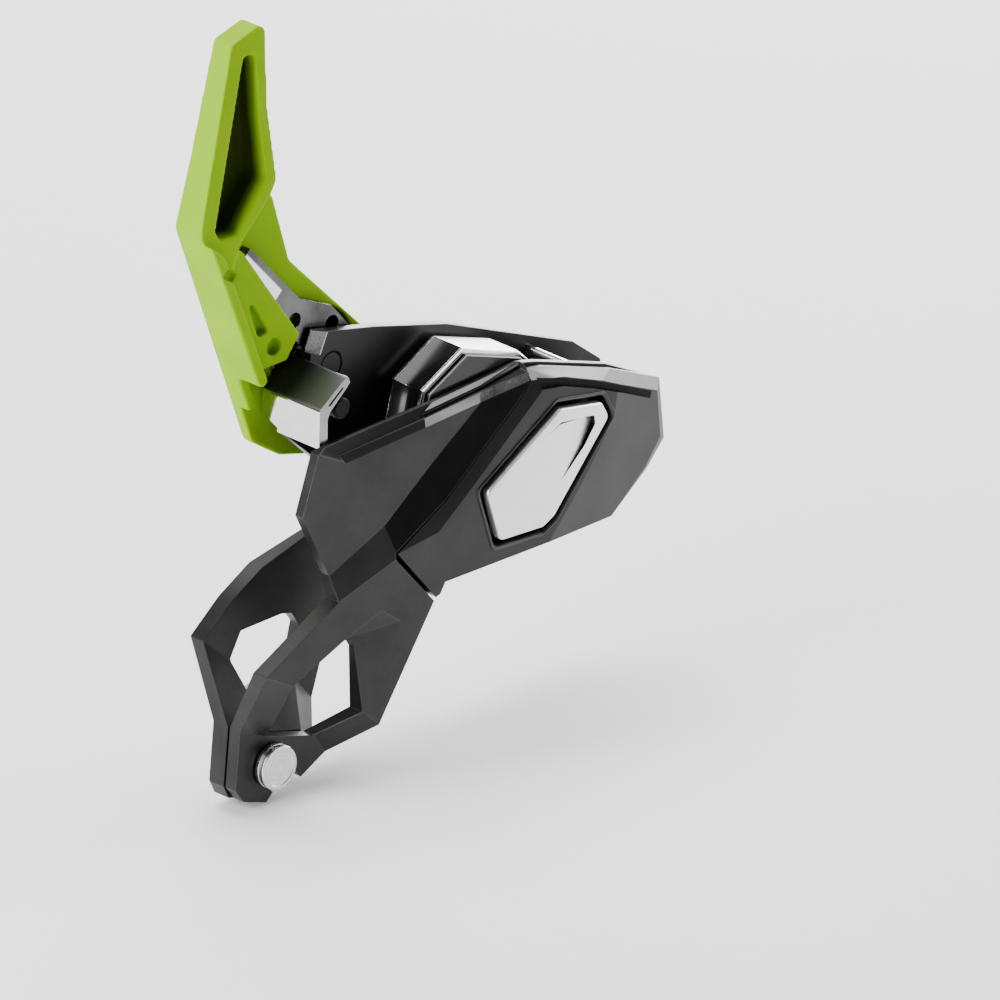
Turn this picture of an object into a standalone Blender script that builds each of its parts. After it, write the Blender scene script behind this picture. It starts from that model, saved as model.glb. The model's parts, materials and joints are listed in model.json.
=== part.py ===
"""Assisted-braking belay device with a release lever: frame, swinging front plate, cam, button, lever.

Blender 4.5, metres, +Z up. X runs along the body, Y along every axle, and -Y is the front side.
The origin is the middle of the pin that hangs in the harness belay loop.
Outlines are written in millimetres as (x, z), and depths in millimetres along Y.
"""

import math

import bmesh
import bpy
from mathutils import Matrix, Vector

MM = 0.001

# Depths along Y, front to rear.
GAP = 0.3  # between two pieces that touch
BREAK = 0.3  # chamfer on a turned piece's edges
CHAMBER = 6.35  # half width of the rope chamber
PLATE_OUT = 8.85  # outer face of a side plate
ARM_IN = 7.5  # inner face of an arm
ARM_OUT = 11.5  # outer face of an arm
COVER_IN = 8.35  # back of the raised cover
PLATE_THIN = COVER_IN - GAP  # outer face of the front plate under the cover
COVER_OUT = 11.9
FILL = CHAMBER - 0.35  # half width of a piece that fills the chamber
CAM_HALF = 4.8
BLOCK_REAR = 11.5  # rear end of the friction block, over the rear plate's edge
LEVER_ARM = (9.4, 11.8)  # steel arm, between the rear plate and the handle
FLANGE = (12.1, 15.0)  # handle's side wall
SCREW_TIP = 10.6  # front end of the handle's screws, inside the steel arm
GRIP_FRONT = 5.0  # front face of the handle

# Joint axes in the XZ plane.
AXLE = (66.0, 51.0)
LEVER_PIVOT = (27.0, 79.0)

HOOK_MOUTH = -52.0  # degrees, the way the hooked lug opens, square to its swing about the axle

# Radii.
AXLE_R = 4.0
AXLE_BORE_R = 2.4
BOLT_R = 2.0
LEVER_PIN_R = 3.0
BELAY_PIN_R = 3.0
BELAY_HEAD_R = 4.9
RIVET_R = 1.6
SCREW_R = 1.3

HUB_R = 11.2  # black ring round the lever's pivot

BUTTON_FACE = 12.8
BUTTON_THICK = 1.9

# Where pins, rivets and screws stand in the XZ plane.
COVER_RIVETS = [(46.5, 36.5), (98.5, 48.5)]
GUIDE_RIVETS = [(84.0, 36.4), (98.0, 47.5)]
GRIP_SCREWS = [(7.6, 105.4), (17.5, 93.0)]
CAM_STOP = (83.0, 65.0)
ROPE_POST = (24.8, 50.5)
BLOCK_PIN = (18.9, 75.4)

# The handle's blade gets thinner towards its tip.
BLADE_WIDEST = 119.0
BLADE_TAPER = 0.05

# Lower edges that both side plates share, from the cover's foot round to the right end.
PLATE_BOTTOM = [(42.3, 31.9), (90.6, 31.6), (101.4, 38.7), (107.0, 43.8)]

BUTTON = [(53.5, 48.1), (74.5, 60.8), (86.6, 58.7), (88.6, 54.9), (72.8, 37.0), (69.6, 35.4), (57.2, 36.0)]

# Upper corners of the window in each arm.
WINDOW = [(13.7, 26.3), (16.7, 25.6), (18.6, 22.6)]


def clear_scene():
    for obj in list(bpy.data.objects):
        bpy.data.objects.remove(obj, do_unlink=True)


# ---------------------------------------------------------------- materials


def make_material(name, colour, metallic, roughness, coat=0.0):
    material = bpy.data.materials.new(name)
    material.use_nodes = True
    shader = material.node_tree.nodes["Principled BSDF"]
    shader.inputs["Base Color"].default_value = (*colour, 1.0)
    shader.inputs["Metallic"].default_value = metallic
    shader.inputs["Roughness"].default_value = roughness
    shader.inputs["Coat Weight"].default_value = coat
    material.diffuse_color = (*colour, 1.0)
    return material


def make_materials():
    return {
        "anodised": make_material("anodised_black", (0.035, 0.036, 0.038), 0.85, 0.42),
        "cover": make_material("cover_grey", (0.055, 0.056, 0.058), 0.8, 0.45),
        "steel": make_material("polished_steel", (0.72, 0.72, 0.73), 1.0, 0.16),
        "satin": make_material("satin_silver", (0.78, 0.78, 0.79), 1.0, 0.3),
        "spring": make_material("spring_steel", (0.5, 0.5, 0.52), 1.0, 0.28),
        "bronze": make_material("bush_bronze", (0.45, 0.3, 0.14), 1.0, 0.35),
        "green": make_material("lime_green", (0.47, 0.72, 0.03), 0.0, 0.42),
        "black": make_material("gloss_black", (0.012, 0.012, 0.013), 0.0, 0.18, 0.4),
    }


# ---------------------------------------------------------------- outlines


def rounded(outline, radius, steps=3):
    """The outline with each corner turned into an arc. radius is one value, or one for each corner."""
    count = len(outline)
    radii = radius if isinstance(radius, list) else [radius] * count
    points = []
    for i, corner in enumerate(outline):
        here = Vector(corner)
        back = Vector(outline[i - 1]) - here
        ahead = Vector(outline[(i + 1) % count]) - here
        half = back.angle(ahead) / 2
        reach = 0.45 * min(back.length, ahead.length)
        size = min(radii[i], reach * math.tan(half))
        if size < 0.05:
            points.append(tuple(here))
            continue
        bisector = (back.normalized() + ahead.normalized()).normalized()
        centre = here + bisector * (size / math.sin(half))
        start = here + back.normalized() * (size / math.tan(half)) - centre
        end = here + ahead.normalized() * (size / math.tan(half)) - centre
        first = math.atan2(start.y, start.x)
        sweep = math.atan2(end.y, end.x) - first
        sweep = (sweep + math.pi) % math.tau - math.pi
        for k in range(steps + 1):
            angle = first + sweep * k / steps
            points.append((centre.x + size * math.cos(angle), centre.y + size * math.sin(angle)))
    return points


def arc(centre, radius, first, last, steps):
    """Points on a circle between two angles in degrees."""
    angles = [math.radians(first + (last - first) * k / steps) for k in range(steps + 1)]
    return [(centre[0] + radius * math.cos(a), centre[1] + radius * math.sin(a)) for a in angles]


# ---------------------------------------------------------------- solids


def finish(name, bm, material, smooth=False):
    bmesh.ops.recalc_face_normals(bm, faces=bm.faces)
    mesh = bpy.data.meshes.new(name)
    bm.to_mesh(mesh)
    bm.free()
    if smooth:
        mesh.shade_smooth()
        mesh.set_sharp_from_angle(angle=math.radians(35))
    if material:
        mesh.materials.append(material)
    obj = bpy.data.objects.new(name, mesh)
    bpy.context.scene.collection.objects.link(obj)
    return obj


def prism(name, outline, front, rear, material):
    """The outline extruded along Y from the front depth to the rear depth."""
    bm = bmesh.new()
    rings = [[bm.verts.new((x * MM, y * MM, z * MM)) for x, z in outline] for y in (front, rear)]
    bm.faces.new(rings[0])
    bm.faces.new(reversed(rings[1]))
    for i in range(len(outline)):
        j = (i + 1) % len(outline)
        bm.faces.new((rings[0][i], rings[1][i], rings[1][j], rings[0][j]))
    return finish(name, bm, material)


def turned(name, centre, profile, material, hollow=False, segments=32):
    """A profile of (y, radius) turned about the line along Y through the centre."""
    bm = bmesh.new()
    rings = []
    for y, radius in profile:
        ring = []
        for k in range(segments):
            a = math.tau * k / segments
            spot = (centre[0] + radius * math.cos(a), y, centre[1] + radius * math.sin(a))
            ring.append(bm.verts.new(Vector(spot) * MM))
        rings.append(ring)
    pairs = list(zip(rings, rings[1:]))
    if hollow:
        pairs.append((rings[-1], rings[0]))
    else:
        bm.faces.new(rings[0])
        bm.faces.new(reversed(rings[-1]))
    for one, two in pairs:
        for k in range(segments):
            n = (k + 1) % segments
            bm.faces.new((one[k], two[k], two[n], one[n]))
    return finish(name, bm, material, smooth=True)


def ring(name, centre, inner, outer, front, rear, material, segments=32):
    """A bush or washer with small chamfers on its outer edges."""
    edge = min(0.25, (rear - front) / 4)
    profile = [(front, inner), (front, outer - edge), (front + edge, outer)]
    profile += [(rear - edge, outer), (rear, outer - edge), (rear, inner)]
    return turned(name, centre, profile, material, hollow=True, segments=segments)


def facets(name, points, faces, material):
    """A sculpted plate. points holds (x, z, outer y, inner y); faces loops over their names.

    The outer skin and the inner skin have the same faces, and a wall joins them along each open edge.
    """
    bm = bmesh.new()
    outer = {k: bm.verts.new((p[0] * MM, p[2] * MM, p[1] * MM)) for k, p in points.items()}
    inner = {k: bm.verts.new((p[0] * MM, p[3] * MM, p[1] * MM)) for k, p in points.items()}
    edges = {}
    for loop in faces:
        bm.faces.new([outer[k] for k in loop])
        bm.faces.new([inner[k] for k in reversed(loop)])
        for i, k in enumerate(loop):
            n = loop[(i + 1) % len(loop)]
            edges.setdefault(frozenset((k, n)), []).append((k, n))
    for used in edges.values():
        if len(used) == 1:
            k, n = used[0]
            bm.faces.new((outer[n], outer[k], inner[k], inner[n]))
    return finish(name, bm, material)


def coil(name, centre, radius, wire, front, rear, turns, material, steps=18, sides=6):
    """A spring: a round wire wound about the line along Y through the centre."""
    bm = bmesh.new()
    rings = []
    total = int(turns * steps)
    for k in range(total + 1):
        a = math.tau * k / steps
        y = front + (rear - front) * k / total
        outward = Vector((math.cos(a), 0, math.sin(a)))
        middle = Vector((centre[0], y, centre[1])) + outward * radius
        loop = []
        for s in range(sides):
            b = math.tau * s / sides
            around = outward * math.cos(b) + Vector((0, 1, 0)) * math.sin(b)
            loop.append(bm.verts.new((middle + around * wire) * MM))
        rings.append(loop)
    bm.faces.new(rings[0])
    bm.faces.new(reversed(rings[-1]))
    for one, two in zip(rings, rings[1:]):
        for s in range(sides):
            n = (s + 1) % sides
            bm.faces.new((one[s], two[s], two[n], one[n]))
    return finish(name, bm, material, smooth=True)


# ---------------------------------------------------------------- modifiers and placing


def soften(obj, width, segments=1, angle=30):
    """Bevels the sharp edges."""
    bevel = obj.modifiers.new("Soften", "BEVEL")
    bevel.width = width * MM
    bevel.segments = segments
    bevel.limit_method = "ANGLE"
    bevel.angle_limit = math.radians(angle)


def combine(obj, tool, operation):
    boolean = obj.modifiers.new(tool.name, "BOOLEAN")
    boolean.operation = operation
    boolean.solver = "EXACT"
    boolean.object = tool
    tool.hide_render = True
    tool.display_type = "WIRE"


def cut(obj, *tools):
    for tool in tools:
        combine(obj, tool, "DIFFERENCE")


def fuse(obj, *tools):
    for tool in tools:
        combine(obj, tool, "UNION")


def hole(obj, centre, radius, front, rear, segments=32):
    """Drills a round hole along Y."""
    profile = [(front, radius), (rear, radius)]
    cut(obj, turned(f"{obj.name}_hole_{len(obj.modifiers)}", centre, profile, None, segments=segments))


def joint_empty(name, centre):
    empty = bpy.data.objects.new(name, None)
    empty.location = (centre[0] * MM, 0, centre[1] * MM)
    empty.empty_display_size = 0.01
    bpy.context.scene.collection.objects.link(empty)
    return empty


def hang(objects, empty):
    """Parents moving pieces to their joint, with their origins on its axis."""
    for obj in objects:
        obj.data.transform(Matrix.Translation(-empty.location))
        obj.parent = empty


# ---------------------------------------------------------------- side plates


def front_side_plate(mats):
    """Front cheek: flat left panel, a slope down to the arm, two struts and a hooked lug."""
    flat, sunk, arm = -PLATE_OUT, -PLATE_THIN, -ARM_OUT
    inside = -CHAMBER
    lug_out, lug_in = -3.6, -0.45
    top = -7.3
    points = {
        "a": (9.1, 69.0, flat, inside),
        "b": (4.5, 56.0, flat, inside),
        "c": (11.9, 40.8, flat, inside),
        "d": (27.7, 47.4, flat, inside),
        "e": (40.7, 57.1, flat, inside),
        "f": (55.9, 67.3, flat, inside),
        "g": (39.2, 66.2, flat, inside),
        "h": (16.2, 65.0, flat, inside),
        "k": (12.2, 69.3, top, inside),
        "m": (43.0, 70.4, top, inside),
        "n": (67.5, 72.1, top, inside),
        "p": (12.2, 35.5, arm, -ARM_IN),
        "q": (28.6, 41.6, arm, -ARM_IN),
        "r": (42.7, 49.4, arm, inside),
        "s": (63.9, 65.7, arm, inside),
        "t": (67.4, 69.3, arm + 0.5, inside),
        "p0": (28.4, 40.2, arm, -ARM_IN),
        "p1": (39.5, 27.5, arm, -ARM_IN),
        "q2": (29.2, 42.0, sunk, inside),
        "r2": (43.0, 49.0, sunk, inside),
        "s2": (64.2, 65.4, sunk, inside),
        "t2": (67.7, 69.1, sunk, inside),
        "n2": (68.0, 71.9, sunk, inside),
        "u": (39.9, 28.2, sunk, inside),
        "v1": (*PLATE_BOTTOM[0], sunk, inside),
        "v2": (*PLATE_BOTTOM[1], sunk, inside),
        "v3": (*PLATE_BOTTOM[2], sunk, inside),
        "v4": (*PLATE_BOTTOM[3], sunk, inside),
        "v5": (105.3, 57.6, sunk, inside),
        "v6": (91.9, 64.4, sunk, inside),
        "v7": (72.1, 70.9, sunk, inside),
        "w2": (*WINDOW[0], arm, -ARM_IN),
        "w3": (*WINDOW[1], arm + 0.9, -ARM_IN),
        "w4": (*WINDOW[2], arm + 1.2, -ARM_IN),
        "x1": (-8.5, 24.7, arm, -ARM_IN),
        "x2": (-0.9, 20.4, arm, -ARM_IN),
        "x3": (24.4, 30.0, arm, -ARM_IN),
        "x4": (29.6, 26.0, arm, -ARM_IN),
        "x5": (18.9, 8.6, arm, -ARM_IN),
        "x6": (23.6, 4.2, arm, -ARM_IN),
        "y1": (-8.6, 9.9, lug_out, lug_in),
        "y2": (-0.9, 6.6, lug_out, lug_in),
        "y3": (12.2, 2.8, lug_out, lug_in),
        "y4": (15.6, -2.0, lug_out, lug_in),
        "z1": (-9.9, -3.2, lug_out, lug_in),
        "z2": (-7.5, -6.4, lug_out, lug_in),
        "z3": (-1.2, -8.4, lug_out, lug_in),
        "z4": (0.7, -6.6, lug_out, lug_in),
        "z9": (8.7, -5.6, lug_out, lug_in),
    }
    for i, spot in enumerate(arc((0.0, 0.0), BELAY_PIN_R + 0.5, HOOK_MOUTH - 90, HOOK_MOUTH - 270, 6)):
        points[f"hook{i}"] = (*spot, lug_out, lug_in)
    loops = [
        "a b c d e f g h",
        "a h k",
        "h g m k",
        "g f n m",
        "c p p0 q d",
        "d q r e",
        "e r s f",
        "f s t n",
        "q q2 r2 r",
        "r r2 s2 s",
        "s s2 t2 t",
        "t t2 n2 n",
        "p0 u q2 q",
        "p0 p1 u",
        "u v1 r2 q2",
        "v1 v2 v6 v7 s2 r2",
        "v2 v3 v4 v5 v6",
        "s2 v7 n2 t2",
        "p x1 x2 w2 x3",
        "p x3 p0",
        "x3 x4 p1 p0",
        "x3 w2 w3 x4",
        "x4 w3 w4 x5",
        "x4 x5 x6 p1",
        "x1 y1 y2 x2",
        "x5 y3 y4 x6",
        "y1 z1 z2 z3 z4 hook0 hook1",
        "y1 hook1 hook2 hook3 y2",
        "y2 hook3 hook4 hook5 y3",
        "y3 hook5 hook6 z9 y4",
    ]
    plate = facets("front_side_plate", points, [loop.split() for loop in loops], mats["anodised"])
    soften(plate, 0.35, 1, 18)
    hole(plate, AXLE, 5.5, -9, -5.5)
    for spot in COVER_RIVETS:
        hole(plate, spot, RIVET_R + GAP, -9, -5.5, 20)
    return plate


def rear_side_plate(mats):
    """Rear cheek, higher along its top edge, with the same arm and a lug behind the front one."""
    flat, arm = PLATE_OUT, ARM_OUT
    inside = CHAMBER
    lug_out, lug_in = 4.6, 0.1
    points = {
        "a": (22.9, 87.7, flat, inside),
        "b": (21.2, 84.0, flat, inside),
        "c": (21.0, 80.2, flat, inside),
        "d": (15.4, 75.6, flat, inside),
        "e": (14.6, 74.2, flat, inside),
        "f": (14.6, 66.5, flat, inside),
        "g": (23.6, 58.2, flat, inside),
        "h": (22.0, 50.0, flat, inside),
        "i": (21.6, 43.3, flat, inside),
        "j": (36.0, 46.0, flat, inside),
        "k": (50.0, 36.5, flat, inside),
        "v1": (*PLATE_BOTTOM[0], flat, inside),
        "v2": (*PLATE_BOTTOM[1], flat, inside),
        "v3": (*PLATE_BOTTOM[2], flat, inside),
        "v4": (*PLATE_BOTTOM[3], flat, inside),
        "v5": (104.2, 57.4, flat, inside),
        "v6": (96.3, 63.6, flat, inside),
        "v7": (60.0, 78.5, flat, inside),
        "v8": (39.3, 84.1, flat, inside),
        "p": (8.1, 38.5, arm, ARM_IN),
        "p2": (-0.5, 33.6, arm, ARM_IN),
        "q": (28.6, 38.5, arm, ARM_IN),
        "u": (39.5, 27.6, arm, ARM_IN),
        "w1": (2.2, 26.0, arm, ARM_IN),
        "w2": (*WINDOW[0], arm, ARM_IN),
        "w3": (*WINDOW[1], arm - 0.9, ARM_IN),
        "w4": (*WINDOW[2], arm - 1.2, ARM_IN),
        "w5": (17.2, 12.0, arm, ARM_IN),
        "w6": (1.0, 13.0, arm - 3.7, ARM_IN - 4.0),
        "x1": (-8.6, 27.0, arm, ARM_IN),
        "x2": (-0.9, 20.4, arm, ARM_IN),
        "x3": (24.4, 30.0, arm, ARM_IN),
        "x4": (29.6, 26.0, arm, ARM_IN),
        "x5": (18.9, 8.6, arm, ARM_IN),
        "x6": (22.3, 4.7, arm, ARM_IN),
        "x7": (25.2, 13.3, arm, ARM_IN),
        "y1": (-8.6, 9.9, lug_out, lug_in),
        "y2": (-0.9, 6.6, lug_out, lug_in),
        "y3": (12.2, 2.8, lug_out, lug_in),
        "y4": (15.6, -2.0, lug_out, lug_in),
        "z1": (-9.9, -3.2, lug_out, lug_in),
        "z2": (-8.4, -6.4, lug_out, lug_in),
        "z3": (0.6, -8.4, lug_out, lug_in),
        "z9": (9.0, -6.2, lug_out, lug_in),
    }
    loops = [
        "a b c d e f g h i j k v1 v2 v3 v4 v5 v6 v7 v8",
        "i p q j",
        "j q u k",
        "k u v1",
        "p p2 w1 w2 x3",
        "p2 x1 x2 w1",
        "p x3 q",
        "x3 x4 u q",
        "x3 w2 w3 x4",
        "x4 w3 w4 w5 x5",
        "x4 x5 x6 x7 u",
        "x1 y1 y2 x2",
        "x2 y2 w6",
        "y2 y3 w6",
        "y3 w5 w6",
        "y3 x5 w5",
        "x5 y3 y4 x6",
        "y1 z1 z2 z3 z9 y4 y3 y2",
    ]
    plate = facets("rear_side_plate", points, [loop.split() for loop in loops], mats["anodised"])
    soften(plate, 0.35, 1, 18)
    hole(plate, AXLE, AXLE_R + GAP, 5.5, 9.5)
    hole(plate, LEVER_PIVOT, LEVER_PIN_R + GAP, 5.5, 9.5)
    hole(plate, (0.0, 0.0), BELAY_PIN_R + GAP, -0.5, 5.5)
    for spot in GUIDE_RIVETS + [CAM_STOP, ROPE_POST, BLOCK_PIN]:
        hole(plate, spot, RIVET_R + GAP, 5.5, 9.5, 20)
    return plate


def front_cover(mats):
    """Raised housing on the front plate, open where the button works."""
    back, face = -COVER_IN, -COVER_OUT
    points = {
        "a": (30.0, 41.7, -ARM_OUT, back),
        "b": (43.3, 48.4, -ARM_OUT, back),
        "c": (64.8, 64.8, -ARM_OUT, back),
        "d": (68.4, 68.5, -ARM_OUT + 0.4, back),
        "e": (40.3, 43.0, face, back),
        "f": (50.5, 50.6, face, back),
        "g": (69.8, 66.0, face, back),
        "h": (74.0, 67.0, face, back),
        "i": (87.5, 62.9, face + 0.1, back),
        "j": (104.6, 55.0, face + 1.4, back),
        "d2": (68.7, 71.1, -9.6, back),
        "h2": (72.2, 70.3, -9.6, back),
        "i2": (91.6, 63.9, -9.6, back),
        "j2": (105.9, 57.6, -9.6, back),
        "k": (107.3, 43.5, face + 1.7, back),
        "m": (101.9, 38.2, face + 1.5, back),
        "n": (90.8, 31.0, face + 0.9, back),
        "o": (42.2, 31.1, face, back),
        "p": (41.4, 28.9, -ARM_OUT, back),
        "q": (40.4, 28.7, -ARM_OUT, back),
        "s": (88.0, 44.0, face, back),
    }
    loops = [
        "a e f b",
        "b f g c",
        "c g h d",
        "d h h2 d2",
        "h i i2 h2",
        "i j j2 i2",
        "a q p o e",
        "e o n s f",
        "f s i h g",
        "s n m k j i",
    ]
    cover = facets("front_cover", points, [loop.split() for loop in loops], mats["cover"])
    soften(cover, 0.35, 1, 18)
    window = prism("cover_window", offset(BUTTON, 2.2, 1.6), -14, -7, None)
    cut(cover, window)
    return cover


def offset(outline, distance, radius):
    """The outline pushed outward by a distance, with rounded corners."""
    middle = Vector((sum(p[0] for p in outline), sum(p[1] for p in outline))) / len(outline)
    count = len(outline)
    moved = []
    for i in range(count):
        lines = []
        for one, two in ((outline[i - 1], outline[i]), (outline[i], outline[(i + 1) % count])):
            run = (Vector(two) - Vector(one)).normalized()
            normal = Vector((run.y, -run.x))
            if normal.dot(Vector(one) - middle) < 0:
                normal.negate()
            lines.append((Vector(one) + normal * distance, run))
        (p, u), (q, v) = lines
        cross = u.x * v.y - u.y * v.x
        t = ((q - p).x * v.y - (q - p).y * v.x) / cross
        moved.append(tuple(p + u * t))
    return rounded(moved, radius)


def button_bezel(mats):
    """Dark ring in the cover's window, round the button."""
    outer = prism("button_bezel", offset(BUTTON, 1.9, 1.5), -12.2, -9.4, mats["black"])
    inner = prism("bezel_hole", offset(BUTTON, 0.35, 1.2), -14, -7, None)
    cut(outer, inner)
    return outer


def lock_button(mats):
    """Silver push button with a flat face and softened edges."""
    rear = BUTTON_THICK - BUTTON_FACE
    button = prism("lock_button", rounded(BUTTON, 1.4), -BUTTON_FACE, rear, mats["satin"])
    soften(button, 0.4, 2, 50)
    return button


# ---------------------------------------------------------------- frame pieces


def friction_block(mats):
    """Bent stainless wall that the loaded rope rubs on, hooked over the rear plate's edge."""
    outer = [(11.8, 68.3), (12.05, 77.2), (20.1, 82.9)]
    inner = [(20.7, 80.9), (15.0, 75.9), (14.3, 74.4), (14.2, 68.3)]
    outline = rounded(outer + inner, [0.3, 1.2, 0.3, 0.3, 0.8, 0.8, 0.3])
    block = prism("friction_block", outline, -FILL, BLOCK_REAR, mats["steel"])
    soften(block, 0.25, 1, 50)
    return block


def shouldered_post(name, centre, radius, material, front=-FILL):
    """A post across the chamber whose thin end is riveted through the rear plate."""
    shoulder = CHAMBER - GAP
    profile = [(front, radius - BREAK), (front + BREAK, radius), (shoulder - BREAK, radius)]
    profile += [(shoulder, radius - BREAK), (shoulder, RIVET_R), (PLATE_OUT - BREAK, RIVET_R)]
    profile += [(PLATE_OUT, RIVET_R - BREAK)]
    return turned(name, centre, profile, material, segments=24)


def brake_strand_guide(mats):
    """Ramp and rounded nose between the plates that the brake strand bends over."""
    ramp = [(76.0, 33.6), (90.2, 33.6), (101.0, 40.4)]
    nose = arc((98.2, 46.6), 7.4, -35, 125, 12)
    slope = [(87.5, 46.2), (80.5, 39.6), (76.0, 37.2)]
    guide = prism("brake_strand_guide", ramp + nose + slope, -FILL, FILL, mats["steel"])
    for spot in GUIDE_RIVETS:
        hole(guide, spot, RIVET_R + GAP, 1.5, 7.0, 20)
    return guide


def guide_rivet(name, centre, material, front=2.0, head=2.8, thick=0.9):
    """A rivet through the rear plate into the guide, with a low head on the plate's outer face."""
    seat = PLATE_OUT + GAP
    profile = [(front, RIVET_R - BREAK), (front + BREAK, RIVET_R), (seat, RIVET_R), (seat, head)]
    profile += [(seat + thick / 2, head), (seat + thick, 0.6 * head)]
    return turned(name, centre, profile, material, segments=20)


def cam_axle(mats):
    """Hollow axle with a head behind the rear plate, and a wide bore at its front end for the bolt."""
    front, bore_end, seat, rear = -9.2, -1.5, PLATE_OUT + GAP, PLATE_OUT + 1.5
    head, vent = 6.2, 0.8
    profile = [(front, AXLE_BORE_R), (front, AXLE_R - BREAK), (front + BREAK, AXLE_R), (seat, AXLE_R)]
    profile += [(seat, head), (rear - BREAK, head), (rear, head - 2 * BREAK)]
    profile += [(rear, vent), (bore_end, vent), (bore_end, AXLE_BORE_R)]
    return turned("cam_axle", AXLE, profile, mats["satin"], hollow=True)


def lever_pivot_pin(mats):
    """Pin from the rear plate out through the lever, with a flat head behind the handle's side wall."""
    head, seat = 5.6, 14.7
    profile = [(6.5, LEVER_PIN_R - BREAK), (6.5 + BREAK, LEVER_PIN_R), (seat, LEVER_PIN_R), (seat, head)]
    profile += [(seat + 0.5, head), (seat + 0.8, head - BREAK)]
    return turned("lever_pivot_pin", LEVER_PIVOT, profile, mats["black"])


def attachment_pin(mats):
    """Pin with a broad head at each end, one in front of the front lug and one behind the rear lug."""
    head, neck, rear_head = BELAY_HEAD_R, BELAY_PIN_R, 4.4
    dish = [(-6.6, 1.1), (-6.35, 1.3), (-6.35, head - 1.1), (-6.6, head - 0.9)]
    rim = [(-6.6, head - BREAK), (-6.6 + BREAK, head), (-5.5, head)]
    groove = [(-5.4, head - 0.35), (-5.1, head - 0.35), (-5.0, head), (-3.9 - BREAK, head)]
    stem = [(-3.9, head - BREAK), (-3.9, neck), (4.9, neck), (4.9, rear_head)]
    profile = dish + rim + groove + stem + [(6.2 - BREAK, rear_head), (6.2, rear_head - BREAK)]
    return turned("attachment_pin", (0.0, 0.0), profile, mats["satin"], segments=40)


# ---------------------------------------------------------------- cam


def brake_cam(mats):
    """Steel cam with a rope groove in its rim and a flat polished top. Levels are (y, groove depth)."""
    rim = [(70.0, 72.9), (54.2, 78.2), (42.6, 72.0), (39.8, 62.0)]
    lower = arc((56.0, 56.5), 16.0, 187, 292, 14)
    side = [(74.6, 46.8), (77.2, 55.0), (76.2, 63.0), (73.6, 69.6)]
    outline = rim + lower + side
    first_grooved, last_grooved = 2, len(outline) - 2
    edge = CAM_HALF - 0.7
    groove = [(-edge, 0.0), (-2.6, 1.4), (0.0, 2.0), (2.6, 1.4), (edge, 0.0)]
    levels = [(-CAM_HALF, 0.0), *groove, (CAM_HALF, 0.0)]
    centre = Vector((60.0, 58.0))
    bm = bmesh.new()
    rings = []
    for y, depth in levels:
        loop = []
        for i, (x, z) in enumerate(outline):
            grooved = first_grooved <= i < last_grooved
            inward = (centre - Vector((x, z))).normalized() * (depth if grooved else 0.0)
            loop.append(bm.verts.new(((x + inward.x) * MM, y * MM, (z + inward.y) * MM)))
        rings.append(loop)
    bm.faces.new(rings[0])
    bm.faces.new(reversed(rings[-1]))
    for one, two in zip(rings, rings[1:]):
        for i in range(len(outline)):
            n = (i + 1) % len(outline)
            bm.faces.new((one[i], two[i], two[n], one[n]))
    cam = finish("brake_cam", bm, mats["steel"], smooth=True)
    hole(cam, AXLE, 5.6, -6, 6)
    hole(cam, AXLE, 9.0, 2.0, 6)
    return cam


def cam_cap(name, front, rear, bore, mats):
    """Black side plate of the cam, a little smaller than the cam itself."""
    rim = [(69.4, 71.9), (54.3, 77.0), (43.4, 71.2), (40.9, 62.0)]
    lower = arc((56.0, 56.5), 14.9, 187, 292, 12)
    side = [(73.7, 47.6), (76.1, 55.0), (75.1, 62.8), (72.8, 69.0)]
    cap = prism(name, rim + lower + side, front, rear, mats["black"])
    soften(cap, 0.25, 1, 50)
    hole(cap, AXLE, bore, -7, 7)
    return cap


# ---------------------------------------------------------------- lever


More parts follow.
